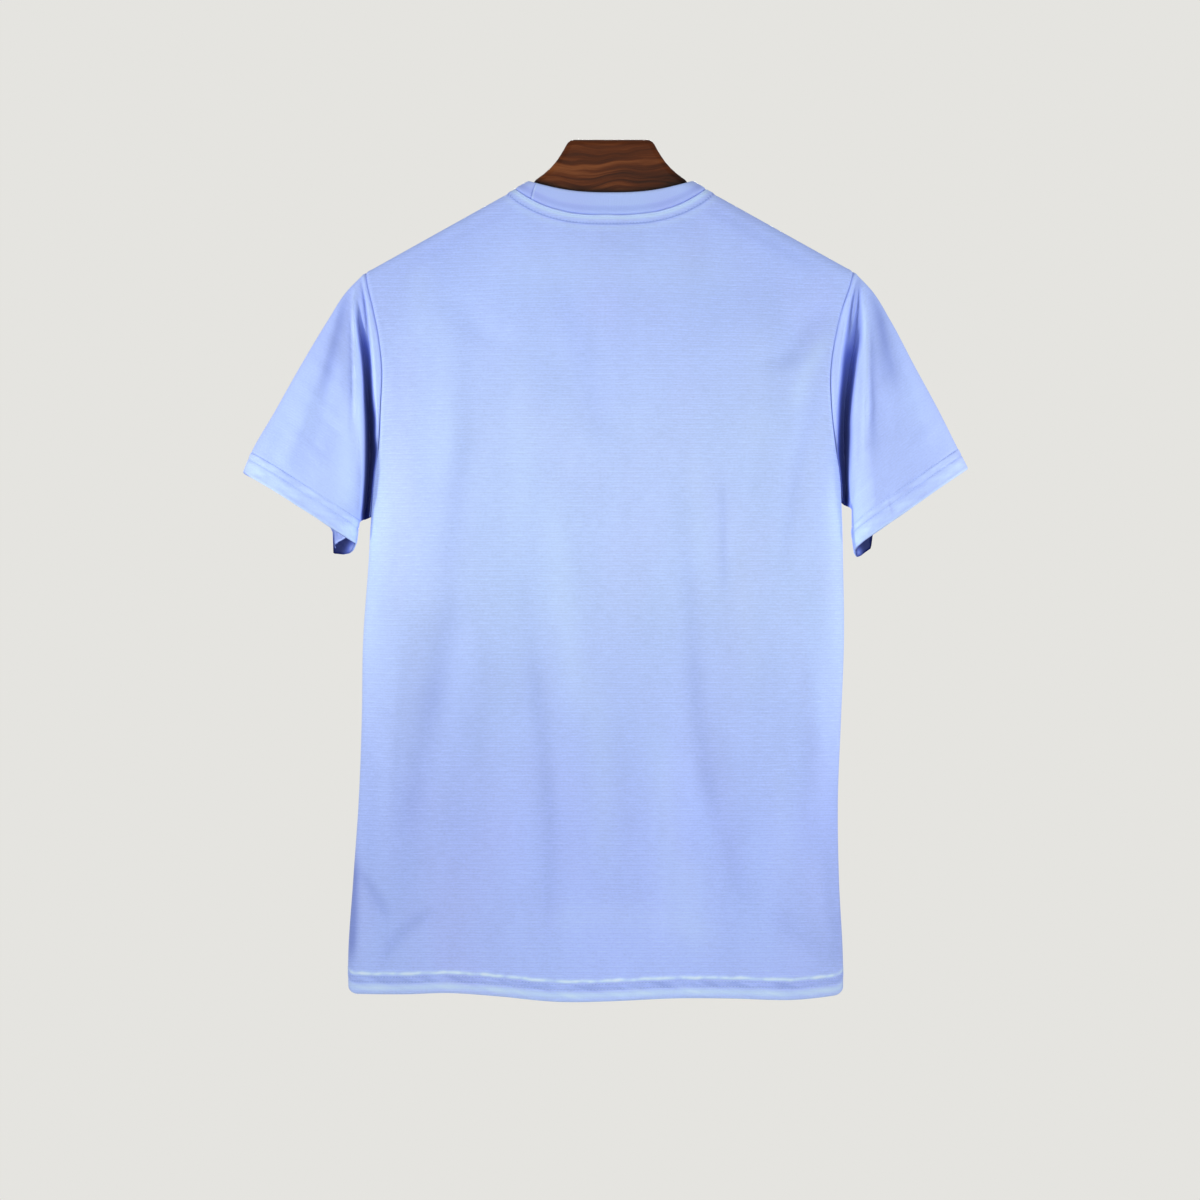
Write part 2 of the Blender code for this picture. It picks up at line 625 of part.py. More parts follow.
def hanger_outline():
    """Half of the board's outline, from the middle of the top, out along the arm and back below it."""
    drop = HANGER_CLEARANCE
    top = [(0.0, 0.0), (HANGER_FLAT_HALF, 0.0)] + [(p.x, p.z) for p in HUMP_SIDE]
    arm_x = np.linspace(86.0, HANGER_ARM_END - 12.0, 6)
    dip = HANGER_NECK_DIP * (1 - ease((arm_x - arm_x[0]) / 40))
    top += list(zip(arm_x, shoulder_line(arm_x) - drop - dip))
    end_z = shoulder_line(HANGER_ARM_END) - drop
    radius = 13.0
    centre = (HANGER_ARM_END - radius, end_z - radius + 3.5)
    lean = math.atan(SHOULDER_SLOPE)
    turns = np.linspace(math.radians(62) - lean * 0.5, -math.pi / 2 - lean, 9)
    end = [(centre[0] + radius * math.cos(a), centre[1] + radius * math.sin(a)) for a in turns]
    under_x = np.linspace(168.0, 60.0, 5)
    height = HANGER_ARM_HEIGHT
    under = [(x, shoulder_line(x) - drop - height + (x - 60) * 0.05) for x in under_x]
    under += [(30.0, HANGER_BASE_Z + 4.5), (12.0, HANGER_BASE_Z + 0.6), (0.0, HANGER_BASE_Z)]
    return top, end, under


def hanger(material):
    """A board with rounded edges: its outline drawn flat, given its thickness, then stood up."""
    top, end, under = hanger_outline()
    half = top + end + under
    outline = half + [(-x, z) for x, z in reversed(half[1:-1])]
    curve = bpy.data.curves.new("hanger_outline", "CURVE")
    curve.dimensions = "2D"
    curve.fill_mode = "BOTH"
    curve.extrude = (HANGER_THICKNESS / 2 - HANGER_EDGE_ROUND) * MM
    curve.bevel_depth = HANGER_EDGE_ROUND * MM
    curve.offset = -HANGER_EDGE_ROUND * MM
    curve.bevel_resolution = 2
    spline = curve.splines.new("POLY")
    spline.points.add(len(outline) - 1)
    for point, (x, z) in zip(spline.points, outline):
        point.co = (x * MM, z * MM, 0.0, 1.0)
    spline.use_cyclic_u = True
    flat = bpy.data.objects.new("hanger_outline", curve)
    bpy.context.scene.collection.objects.link(flat)
    bpy.context.view_layer.update()
    graph = bpy.context.evaluated_depsgraph_get()
    data = bpy.data.meshes.new_from_object(flat.evaluated_get(graph))
    bpy.data.objects.remove(flat)
    mesh = bmesh.new()
    mesh.from_mesh(data)
    bmesh.ops.remove_doubles(mesh, verts=mesh.verts, dist=1e-6)
    bmesh.ops.recalc_face_normals(mesh, faces=mesh.faces)
    mesh.to_mesh(data)
    mesh.free()
    data.name = "hanger"
    data.shade_smooth()
    data.set_sharp_from_angle(angle=math.radians(35))
    data.materials.append(material)
    board = add_object("hanger", data)
    board.rotation_euler = (math.pi / 2, 0.0, 0.0)
    return board


# ---------------------------------------------------------------- scene


def principled(name, colour, roughness, sheen=0.0):
    material = bpy.data.materials.new(name)
    material.use_nodes = True
    shader = material.node_tree.nodes["Principled BSDF"]
    shader.inputs["Base Color"].default_value = (*colour, 1.0)
    shader.inputs["Roughness"].default_value = roughness
    shader.inputs["Metallic"].default_value = 0.0
    shader.inputs["Sheen Weight"].default_value = sheen
    return material


def add_object(name, data):
    piece = bpy.data.objects.new(name, data)
    bpy.data.collections[COLLECTION].objects.link(piece)
    return piece


def clear_scene():
    for piece in list(bpy.data.objects):
        bpy.data.objects.remove(piece, do_unlink=True)
    bpy.context.scene.collection.children.link(bpy.data.collections.new(COLLECTION))


def main():
    clear_scene()
    pale_blue = (0.42, 0.55, 0.92)
    panel("back", principled("back_cloth", pale_blue, 0.62, sheen=0.3))
    panel("front", principled("front_cloth", pale_blue, 0.62, sheen=0.3))
    sleeve("left", principled("left_sleeve_cloth", pale_blue, 0.62, sheen=0.3))
    sleeve("right", principled("right_sleeve_cloth", pale_blue, 0.62, sheen=0.3))
    collar(principled("collar_rib", (0.44, 0.57, 0.92), 0.7, sheen=0.2))
    hanger(principled("walnut", (0.09, 0.03, 0.014), 0.42))


main()
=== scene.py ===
"""A short-sleeved football jersey on a plain wooden hanger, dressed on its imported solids.

The frame is the part's own: +Z up, the back of the jersey faces -Y, the wearer's left is -X, and the
origin is the middle of the hanger's flat top. Tables are in millimetres, meshes in metres.
"""

import math
from collections import namedtuple

import bpy
import numpy as np
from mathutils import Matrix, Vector


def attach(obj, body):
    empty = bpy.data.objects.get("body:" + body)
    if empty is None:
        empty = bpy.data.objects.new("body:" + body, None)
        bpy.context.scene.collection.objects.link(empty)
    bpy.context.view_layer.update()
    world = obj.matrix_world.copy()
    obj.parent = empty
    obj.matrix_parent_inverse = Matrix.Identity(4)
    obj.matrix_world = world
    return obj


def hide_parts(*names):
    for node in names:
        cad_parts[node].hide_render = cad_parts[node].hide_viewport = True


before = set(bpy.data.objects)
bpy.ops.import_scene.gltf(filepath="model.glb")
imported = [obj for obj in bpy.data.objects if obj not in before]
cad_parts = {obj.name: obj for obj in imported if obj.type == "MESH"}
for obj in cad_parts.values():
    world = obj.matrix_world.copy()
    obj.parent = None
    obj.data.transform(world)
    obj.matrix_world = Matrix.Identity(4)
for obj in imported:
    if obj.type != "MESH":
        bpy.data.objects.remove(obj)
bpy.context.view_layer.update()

MM = 0.001
FAR = 1000.0
FACES = ("back", "front")
SIDES = ("left", "right")  # the wearer's
SIGN = {"left": -1.0, "right": 1.0}
OUT_Y = {"back": -1.0, "front": 1.0}


def table(kind, *rows):
    """Named rows from plain ones."""
    return tuple(kind(*row) for row in rows)


# ---------------- the jersey's measures, as its solids have them

SHOULDER_SLOPE = 0.557
RIDGE_Z = 3.6
NECK_HALF_WIDTH = 86.0
RIM_HALF_WIDTH = 72.6
Neckline = namedtuple("Neckline", "half_width drop power")
NECK_SEAM = {"back": Neckline(NECK_HALF_WIDTH, 24, 2.8), "front": Neckline(NECK_HALF_WIDTH, 86, 2.4)}
NECK_RIM = {"back": Neckline(RIM_HALF_WIDTH, 11, 2.5), "front": Neckline(RIM_HALF_WIDTH, 74, 2.4)}

BodyDepth = namedtuple("BodyDepth", "z back front")
BODY_DEPTHS = table(
    BodyDepth,
    (-40, 42, 46), (-200, 50, 58), (-340, 54, 62), (-500, 52, 58), (-650, 48, 53), (-790, 46, 51),
)
SECTION_POWER = 2.5
SHOULDER_ROUND_DEPTH = 17.0
SHOULDER_ROUND_HEIGHT = 14.0
SHOULDER_ROUND_POWER = 2.5
SHOULDER_TO_CHEST = 160.0
NAPE_HALF_WIDTH = 70.0

Side = namedtuple("Side", "z left right")
SEAM_LINE = table(
    Side,
    (-119, 221, 219), (-129, 219.6, 216.6), (-153, 214, 208.6), (-176, 209.4, 203), (-206, 206, 198.4),
    (-240, 207, 198.8), (-277, 209, 203), (-310, 213.8, 208.2), (-335, 216.4, 209.4), (-380, 219, 210.6),
    (-450, 224, 211.5), (-523, 225.3, 208.8), (-595, 228, 206), (-667, 233, 207), (-740, 237.6, 210.6),
    (-790, 236.6, 210.6),
)
Flare = namedtuple("Flare", "up extra")
ARMHOLE_FLARE = table(Flare, (0, 0), (0.08, 0.6), (0.18, 3.4), (0.35, 12), (0.63, 30), (1, 64))
ARMPIT_Z = {"left": -341.0, "right": -329.0}
SHOULDER_X = {"left": 221.0, "right": 219.0}
HALF_WIDTH = sum(SHOULDER_X.values()) / 2  # of the body at the shoulders

HemPoint = namedtuple("HemPoint", "across z")
HEM_LINE = table(
    HemPoint,
    (-1, -769.5), (-0.75, -769), (-0.6, -767.8), (-0.4, -770.5), (-0.15, -775.6), (0.1, -774.6),
    (0.3, -772.5), (0.55, -772.8), (0.8, -774.2), (1, -770),
)
HEM_CORNER = 9.0  # radius of the hem's lower corners

# Soft folds: three points down the middle of each, half width and depth; a negative depth is a ridge.
Fold = namedtuple("Fold", "x0 z0 x1 z1 x2 z2 width depth")
FOLDS = {
    "back": table(
        Fold,
        (-145, -400, -160, -520, -186, -650, 20, 4.5), (-65, -430, -60, -590, -58, -735, 24, 5),
        (73, -385, 76, -540, 128, -675, 20, 4.5), (99, -300, 98, -360, 97, -415, 12, 3),
        (198, -215, 168, -305, 161, -385, 16, 4.5), (200, -140, 168, -184, 138, -214, 16, 4),
        (-60, -175, -30, -225, -3, -276, 20, 2.5), (-144, -205, -142, -270, -141, -340, 16, -1.2),
        (-80, -205, -74, -290, -78, -380, 20, -1.4), (20, -420, 14, -580, 18, -740, 30, -3.5),
        (-226, -664, -199, -704, -206, -740, 7, 2.5),
        # Small creases that the solids leave out.
        (-205, -513, -200, -519, -196, -525, 5, 0.7), (8, -86, 14, -93, 21, -100, 5, 0.6),
        (-190, -420, -196, -560, -204, -690, 9, -1.6), (178, -400, 184, -540, 186, -690, 10, -1.8),
        (186, -620, 196, -700, 200, -745, 9, 2), (-120, -520, -116, -620, -104, -720, 14, -1.6),
        (52, -560, 60, -650, 78, -742, 13, -1.8), (150, -540, 158, -640, 150, -735, 12, 1.6),
        (-20, -640, -26, -700, -22, -748, 10, 1.2), (0, -110, 10, -180, 4, -250, 16, -1),
        (-150, -130, -120, -168, -84, -196, 14, 1.4), (96, -110, 84, -160, 60, -205, 13, 1.2),
    ),
    "front": table(
        Fold,
        (-150, -390, -165, -540, -182, -735, 22, 5), (-40, -330, -62, -540, -70, -740, 26, 5),
        (95, -360, 90, -560, 112, -740, 24, 5), (-198, -160, -165, -230, -135, -320, 16, 4),
        (194, -165, 160, -240, 140, -330, 16, 4), (-70, -140, 0, -185, 70, -230, 18, 2),
        (22, -400, 18, -580, 16, -745, 28, -3.5),
        # Small creases that the solids leave out.
        (150, -480, 160, -600, 172, -730, 13, -2), (-110, -480, -118, -610, -128, -735, 12, -2),
        (60, -150, 90, -230, 80, -320, 16, 2.4), (-90, -180, -104, -260, -90, -350, 15, -2.2),
    ),
}
FOLD_EMPHASIS = 1.1
FOLDS_BELOW = 50.0  # folds reach their full depth this far below the shoulder
WAVES_BELOW = 420.0  # from here down the cloth waves more and more
WAVES_GROW = 300.0
SIDE_FADE = 0.6  # share of the section's depth below which folds fade into the side seam
FRONT_FOLD_SHADE = 0.055  # painted darker for every mm of a fold's depth, and lighter on its ridges

# Painted lights (+) and painted shade (-) that lie along the folds of the back: three points, half width,
# strength.
Tint = namedtuple("Tint", "x0 z0 x1 z1 x2 z2 width strength")
BACK_PAINTED_LIGHT = table(
    Tint,
    (-195, -180, -192, -226, -193, -276, 6, -0.11), (-123, -135, -129, -207, -134, -280, 10, -0.05),
    (-130, -235, -138, -316, -152, -424, 11, -0.18), (-140, -379, -150, -460, -167, -541, 13, -0.22),
    (-154, -460, -167, -541, -186, -640, 13, -0.2), (-172, -559, -183, -640, -193, -731, 16, -0.13),
    (-80, -379, -73, -442, -65, -523, 8, -0.07), (-72, -451, -63, -532, -55, -622, 9, -0.17),
    (-56, -559, -54, -631, -59, -740, 9, -0.18), (99, -293, 101, -352, 101, -419, 3.8, -0.22),
    (200, -194, 174, -271, 156, -406, 6, -0.14), (205, -134, 174, -180, 141, -216, 8, -0.14),
    (66, -343, 72, -433, 75, -523, 9, -0.16), (74, -451, 81, -541, 93, -631, 9, -0.16),
    (83, -541, 99, -622, 133, -704, 9, -0.13), (102, -595, 113, -640, 126, -713, 14, -0.06),
    (-49, -117, -26, -198, 5, -298, 13, -0.14), (-9, -90, -2, -171, 7, -262, 18, -0.05),
    (-231, -652, -212, -679, -196, -706, 4.4, -0.3), (-150, -690, -189, -715, -210, -754, 6.5, -0.3),
    (135, -686, 171, -717, 207, -744, 10, -0.14), (-221, -505, -217, -622, -215, -740, 9, -0.12),
    (203, -540, 203, -649, 203, -744, 12, -0.24), (-128, -400, -132, -560, -138, -690, 22, -0.11),
    (126, -516, 146, -513, 167, -508, 3, -0.08), (-205, -513, -198, -518, -190, -520, 2.5, -0.14),
    (-56, -298, -44, -406, -24, -541, 13, 0.26), (-89, -162, -80, -253, -87, -397, 13, 0.12),
    (-156, -126, -150, -207, -148, -307, 9, 0.12), (40, -505, 48, -604, 63, -744, 13, 0.2),
    (72, -631, 75, -686, 81, -745, 14, 0.17), (72, -262, 79, -343, 83, -415, 9, 0.14),
    (110, -316, 120, -415, 131, -523, 10, 0.1), (201, -171, 182, -198, 162, -253, 7, 0.34),
    (-215, -307, -217, -397, -215, -505, 10, 0.12), (-18, -451, -9, -559, -4, -686, 13, 0.17),
    (-100, -713, 9, -699, 117, -722, 12, 0.14), (135, -144, 131, -216, 128, -307, 14, 0.1),
    (-172, -99, -172, -144, -168, -198, 12, 0.17), (150, -540, 156, -610, 160, -690, 10, 0.09),
    (-231, -630, -232, -694, -235, -756, 5, -1.1), (206, -690, 205, -720, 204, -752, 8, -0.2),
    (60, -46, 130, -86, 208, -128, 7, -0.2), (-70, -52, -130, -86, -205, -128, 6, -0.1),
    (-160, -108, 0, -116, 160, -108, 30, 0.24), (186, -505, 186, -580, 186, -665, 14, -0.13),
)

# Sleeves. x is the distance from the middle plane on either side.
OutlinePoint = namedtuple("OutlinePoint", "z x")
# dark: how deep the painted shade in the pinch is.
PinchPoint = namedtuple("PinchPoint", "z x outer_width inner_width share dark")
Sleeve = namedtuple("Sleeve", "outer pinch cuff_inner cuff_outer hem_inner hem_outer under_share folds")
SLEEVES = {
    "left": Sleeve(
        outer=table(
            OutlinePoint,
            (-119.5, 221), (-135.3, 236.8), (-162.4, 254.8), (-203, 279.2), (-243.5, 302.6), (-281, 324.6),
            (-298, 331.5),
        ),
        pinch=table(
            PinchPoint,
            (-135, 228.5, 2.4, 2.4, 0, 0), (-148, 227.8, 2.8, 2.6, 0.25, 0.12),
            (-162, 226.4, 3.1, 3.2, 0.45, 0.3), (-180, 223.2, 3.6, 4.4, 0.75, 0.46),
            (-198, 220.4, 3.7, 4.5, 0.95, 0.66), (-216, 219, 3.6, 4, 1, 0.82),
            (-234, 217.9, 3.9, 4, 1, 0.94), (-252, 216.4, 4.6, 4.8, 1, 0.97), (-270, 216, 4.7, 5, 1, 1),
            (-288, 216.2, 4.7, 9, 1, 1), (-306, 217.6, 4, 9, 1, 1), (-325, 219.4, 3.6, 8.5, 1, 1),
            (-345, 221.3, 3.3, 8, 1, 1), (-365, 218.5, 3, 6, 0.6, 1),
        ),
        cuff_inner=(229.0, -364.0),
        cuff_outer=(331.5, -298.0),
        hem_inner=(227.0, -346.5),
        hem_outer=(324.6, -281.0),
        under_share=1.0,
        folds={
            "back": table(
                Fold,
                (237, -145, 249, -192, 267, -300, 12, 3.2),
                (234.8, -150, 233.2, -205, 233.4, -275, 2.1, 1.5),
                (230.6, -118, 229.6, -190, 224.5, -300, 2.6, -2.4),
                (225.4, -120, 220.4, -157, 216, -206, 1.8, 2.5),
                (222.5, -120, 213.4, -184, 208.6, -262, 2, -1.5),
                (236, -126, 244, -163, 262, -235, 3.8, 0.8), (268, -215, 282, -262, 296, -300, 11, -2),
                (252, -255, 262, -300, 268, -335, 9, -1.6),
            ),
            "front": table(
                Fold,
                (240, -150, 254, -200, 270, -280, 11, 7), (262, -215, 280, -260, 292, -300, 12, 3),
            ),
        },
    ),
    "right": Sleeve(
        outer=table(
            OutlinePoint,
            (-118.4, 219), (-135, 235), (-162, 252), (-203, 273.8), (-243.5, 296.3), (-278, 314),
            (-294.5, 322.5),
        ),
        pinch=table(
            PinchPoint,
            (-122, 223.2, 2.4, 2.4, 0, 0), (-133, 222.8, 3.2, 3, 0.08, 0.08),
            (-146, 221.6, 4.2, 4.4, 0.2, 0.16), (-162, 220.2, 6.4, 5.8, 0.38, 0.26),
            (-180, 218.4, 7, 6.4, 0.62, 0.38), (-198, 215.8, 6.3, 6.6, 0.86, 0.54),
            (-216, 213.9, 5.6, 6, 1, 0.7), (-234, 212, 5.3, 5.8, 1, 0.82), (-252, 210.8, 4.9, 5.4, 1, 0.9),
            (-270, 210, 5.4, 5.6, 1, 0.93), (-288, 209.6, 5.2, 6, 1, 0.95), (-306, 210.8, 3.6, 7, 1, 0.97),
            (-324, 211.6, 3.4, 6.5, 1, 1), (-345, 211.5, 3, 5.5, 0.8, 1),
        ),
        cuff_inner=(219.7, -369.8),
        cuff_outer=(322.5, -294.5),
        hem_inner=(217.6, -354.5),
        hem_outer=(314.0, -278.0),
        under_share=0.45,
        folds={
            "back": table(
                Fold,
                (235, -140, 244, -195, 243, -290, 11, 4), (227.5, -118, 230, -174, 227, -300, 3, -1.9),
                (222.4, -118, 214.8, -166, 209.5, -208, 1.8, 2.1),
                (222.5, -130, 218, -165, 214, -200, 1.4, -1.3),
                (224.5, -118, 221.6, -166, 215, -212, 1.7, 1.6),
                (218.5, -124, 208.5, -176, 201.4, -240, 2, -1.2),
                (234.2, -150, 234.6, -215, 235.6, -290, 3.2, 0.9),
                (232, -126, 243, -165, 258, -235, 3.8, 0.7), (262, -205, 276, -250, 286, -290, 11, -2),
                (232, -265, 236, -310, 238, -350, 6, -1.6),
            ),
            "front": table(
                Fold,
                (236, -145, 250, -200, 262, -275, 11, 7), (262, -220, 276, -260, 288, -300, 12, 3),
            ),
        },
    ),
}
SleeveDepth = namedtuple("SleeveDepth", "along back front")
SLEEVE_DEPTHS = table(SleeveDepth, (0, 31, 34), (0.3, 39, 42), (0.7, 42, 45), (1, 42, 45))
SLEEVE_SECTION_POWER = 0.85
ARMHOLE_BLEND = 0.3
PINCH_FLOOR = 9.0
PINCH_HALF_GAP = 6.5
PINCH_START = 0.13
PINCH_POWERS = (3.4, 2.4)  # how square its outer and its inner wall are
# how square the band of painted shade across the pinch is
PINCH_DARK_POWER = 5.0
NARROW = 4.0  # narrower folds reach nearly to the armhole seam and are painted lighter or darker by their depth
NARROW_START = 0.03
NARROW_FOLD_LIGHT = 2.6
# The front of each cuff hangs lower at its inner corner, so the mouth of the sleeve shows there.
Drop = namedtuple("Drop", "down by")
MOUTHS = {
    "left": table(
        Drop,
        (0, 0), (0.03, 8.5), (0.06, 12.8), (0.12, 17.8), (0.2, 22.2), (0.212, 21.5), (0.224, 0), (0.6, 0),
        (0.75, 0.3), (0.9, 1.3), (0.97, 2.3), (1, 2.4),
    ),
    "right": table(
        Drop,
        (0, 0), (0.004, 4.4), (0.02, 7.9), (0.05, 8.9), (0.09, 8.9), (0.15, 9.4), (0.165, -2.2),
        (0.36, -1.1), (0.6, 0), (0.75, 0.3), (0.9, 1.3), (1, 2.2),
    ),
}
# The back of each cuff bows a little between its corners.
CUFF_BOWS = {
    "left": table(Drop, (0, 0), (0.6, 0), (0.75, 0.3), (0.9, 1.3), (0.97, 2.3), (1, 2.4)),
    "right": table(
        Drop,
        (0, 0), (0.02, -1.6), (0.07, -2.4), (0.155, -2.3), (0.36, -1.1), (0.6, 0), (0.75, 0.3), (0.9, 1.3),
        (1, 2.2),
    ),
}
CUFF_DROPS = {"back": CUFF_BOWS, "front": MOUTHS}
# Painted lights and painted shade along the back of each sleeve, x from the middle plane on either side.
SLEEVE_PAINTED_LIGHT = {
    "left": table(
        Tint,
        (236, -215, 237.5, -280, 236, -350, 10, 0.55), (268, -285, 258, -312, 246, -345, 20, 0.34),
        (262, -190, 270, -235, 276, -275, 12, 0.16), (235.5, -124, 243, -168, 265, -245, 6, -0.42),
        (226, -286, 225.5, -320, 227, -352, 3.5, -0.4),
    ),
    "right": table(
        Tint,
        (241, -140, 245, -190, 246, -235, 5, -0.3), (232, -120, 243, -164, 262, -235, 9, -0.3),
        (236.5, -170, 236, -240, 237, -310, 6, -0.25), (248.3, -318, 251.6, -329, 255.2, -341, 1.1, -0.8),
        (212, -165, 205.5, -235, 202.8, -305, 2.4, -0.55),
        (217.5, -225, 216.5, -290, 217.5, -345, 2.4, -0.4), (228, -260, 227, -310, 226, -362, 7, 0.12),
        (262, -200, 272, -235, 280, -270, 10, 0.1),
    ),
}
ARMHOLE_MARGIN = 0.04
HEM_START = 0.9

# ---------------- sewing and cloth, mm

CLOTH = 0.8  # one layer of the jersey's knit
DOUBLED = 0.9  # how much a hem adds to it
SEAM_GAP = 0.2
SEAM_ROLL = 1.0  # how far an edge dips into its seam
SEAM_ROLL_WIDTH = 2.4
SHOULDER_ROLL = 0.6  # share of it at the shoulder seam
ARMHOLE_LINE_UP = 50.0  # above the armpit, where the dark line along the armhole starts on the panels
# glow, shade and lower are painted: a highlight on the ridge, shade between the rows, and a lighter lower
# band.
Hem = namedtuple("Hem", "low_row high_row ridge ridge_width puff raise_by pucker glow shade lower")
BODY_HEM = Hem(10.6, 15.4, 18.5, 1.6, puff=1, raise_by=0.5, pucker=0.55, glow=2, shade=-0.3, lower=1.1)
CUFF_HEM = Hem(13.6, 20.4, 17.0, 2.2, puff=0.2, raise_by=0.25, pucker=0.2, glow=0.3, shade=0, lower=0.45)
HEM_WAVES_FROM = -1000.0  # x from which the waves along the body's hem are counted
HEM_WAVES_TURN = {"back": 0.9, "front": 2.6, "left": 1.4, "right": 3.1}
SWAY = (1.8, 0.8)  # how far the hem leans out and in, in long waves and in short ones
SWAY_WAVES = (170.0, 62.0)
SWAY_HEIGHT = 60.0
GROOVE_WIDTH = 0.6
GROOVE_DEPTH = 0.5
# how much painted shade lies in a stitched groove
GROOVE_DARK = 0.45
# Soft lines beside a seam or an edge: how far from it, half width, and strength, which is how far they
# stand out (+) or in (-) where they are relief, and how much painted light (+) or shade (-) they add where
# they are colour.
Line = namedtuple("Line", "at width strength")
# Beside a seam: a painted highlight on its ridge, and the seam's own dark line.
SEAM_LINES = table(Line, (3.2, 1.5, 0.35), (0, 0.9, -0.8))
NECK_BAND = 9.0  # height of the topstitched band below the collar
NECK_BAND_RAISE = 0.75
NECK_REACH = 20.0  # nothing of the band shows farther below the seam
NECK_ROWS = (2.0, 8.0)  # its rows of stitches, from the seam
NECK_GROOVES = table(Line, *((row, 0.5, -0.4) for row in NECK_ROWS), (NECK_BAND + 0.7, 0.8, -0.3))
# On the band below the collar: a painted highlight on the band, the seam's dark line, painted shade along
# its lower row and edge, and a painted lighter strip below it.
NECK_LINES = table(Line, (2.6, 2.2, 1.1), (0, 0.8, -0.1), (8.5, 0.8, -1), (12, 2.6, 0.32))
STITCH_PITCH = 3.0
STITCH_LENGTH = 2.35
STITCH_RADIUS = 0.2
STITCH_SHARES = np.array([0.0, 0.22, 0.78, 1.0])  # where a stitch's four rings are, shares of its length
STITCH_GIRTHS = np.array([0.25, 1.0, 1.0, 0.25])
STITCH_LIFTS = np.array([-0.12, 0.14, 0.14, -0.12])
STITCH_SIDES = 5

EDGE_STEPS = (0, 0.02, 0.08, 0.2, 0.4, 0.7, 1.1, 1.6, 2.2, 3.0, 3.9, 5.0, 6.3, 7.8, 9.5, 11.5, 13.7, 16.2)
TOP_STEPS = (
    *(0, 0.02, 0.08, 0.2, 0.4, 0.7, 1.05, 1.45, 1.9, 2.35, 2.8, 3.4, 4.1, 4.8, 5.5, 6.2, 6.8),
    *(7.3, 7.7, 8.1, 8.5, 8.9, 9.4, 10.0, 11.0, 12.4, 14.2, 16.2),
)
HEM_STEPS = np.array([0, 0.15, 0.4, 0.8, 1.3, 1.9, *(2.6 + 0.75 * i for i in range(30))])
NECK_DETAIL = 0.9  # column spacing at the ends of the neck


# ---------------- curves, folds and soft lines


def smooth_through(keys, values, at):
    """A smooth curve through the values at their keys, level beyond both ends."""
    keys, values = np.asarray(keys, float), np.asarray(values, float)
    if keys[0] > keys[-1]:
        keys, values = keys[::-1], values[::-1]
    at = np.clip(np.asarray(at, float), keys[0], keys[-1])
    slopes = np.gradient(values, keys)
    i = np.clip(np.searchsorted(keys, at, side="right") - 1, 0, len(keys) - 2)
    step = keys[i + 1] - keys[i]
    t = (at - keys[i]) / step
    return (
        values[i] * (1 + 2 * t) * (1 - t) ** 2
        + values[i + 1] * t * t * (3 - 2 * t)
        + step * (slopes[i] * t * (1 - t) ** 2 - slopes[i + 1] * t * t * (1 - t))
    )


def column(rows, name, at, key="z"):
    return smooth_through([getattr(r, key) for r in rows], [getattr(r, name) for r in rows], at)


def between(a, b, share):
    return a + (b - a) * share


def ease(t):
    t = np.clip(t, 0.0, 1.0)
    return t * t * (3 - 2 * t)


def bell(at, middle, half_width):
    return np.exp(-(((at - middle) / half_width) ** 2))


def turned_in(distance, width):
    """1 at an edge, falling to 0 at a width from it."""
    return np.clip(1 - distance / width, 0, 1) ** 2


def soft_lines(distance, lines):
    return sum(line.strength * bell(distance, line.at, line.width) for line in lines)


def ripple(along, wavelength, turn):
    """An uneven wave between about -1 and 1, made of three whole waves that don't repeat together."""
    a = 2 * math.pi * np.asarray(along) / wavelength
    return 0.5 * np.sin(a + turn) + 0.32 * np.sin(1.618 * a + 2.3 * turn) + 0.22 * np.sin(2.73 * a - turn)


def faded_ends(share):
    return ease(share / 0.3) * ease((1 - share) / 0.3)


def fold_depth(fold, x, z):
    middle = smooth_through([fold.z0, fold.z1, fold.z2], [fold.x0, fold.x1, fold.x2], z)
    lean = (fold.x2 - fold.x0) / (fold.z2 - fold.z0)
    off = (x - middle) / math.hypot(1.0, lean)
    return fold.depth * bell(off, 0.0, fold.width) * faded_ends((fold.z0 - z) / (fold.z0 - fold.z2))


def folds_at(folds, x, z):
    return sum(fold_depth(fold, x, z) for fold in folds)


def painted_band_along(painted_band, x, z):
    """Strength of a band of painted light or shade at each place, strongest on its slightly bent middle
    line.
    """
    across, down = painted_band.x2 - painted_band.x0, painted_band.z2 - painted_band.z0
    length = math.hypot(across, down)
    share = ((x - painted_band.x0) * across + (z - painted_band.z0) * down) / length**2
    bow = ((painted_band.x1 - painted_band.x0) * down - (painted_band.z1 - painted_band.z0) * across) / length
    off = ((x - painted_band.x0) * down - (z - painted_band.z0) * across) / length - 4 * bow * share * (1 - share)
    return painted_band.strength * bell(off, 0.0, painted_band.width) * faded_ends(share)


# ---------------- the body's surface


def shoulder_line(x):
    return RIDGE_Z - SHOULDER_SLOPE * np.abs(x)


def neck_curve(x, line):
    across = np.clip(np.abs(x) / line.half_width, 0.0, 1.0)
    return shoulder_line(line.half_width) - line.drop * (1 - across**line.power)


def seam_x(side, z):
    return SIGN[side] * column(SEAM_LINE, side, z)


def section_edge_x(side, z):
    """Where the body's rounded section ends: at the side seam, and outside the armhole above it."""
    armpit = ARMPIT_Z[side]
    up = (z - armpit) / (shoulder_line(SHOULDER_X[side]) - armpit)
    flared = column(SEAM_LINE, side, armpit) + column(ARMHOLE_FLARE, "extra", up, key="up")
    seam = column(SEAM_LINE, side, z)
    return SIGN[side] * np.where(z > armpit, np.maximum(flared, seam), seam)


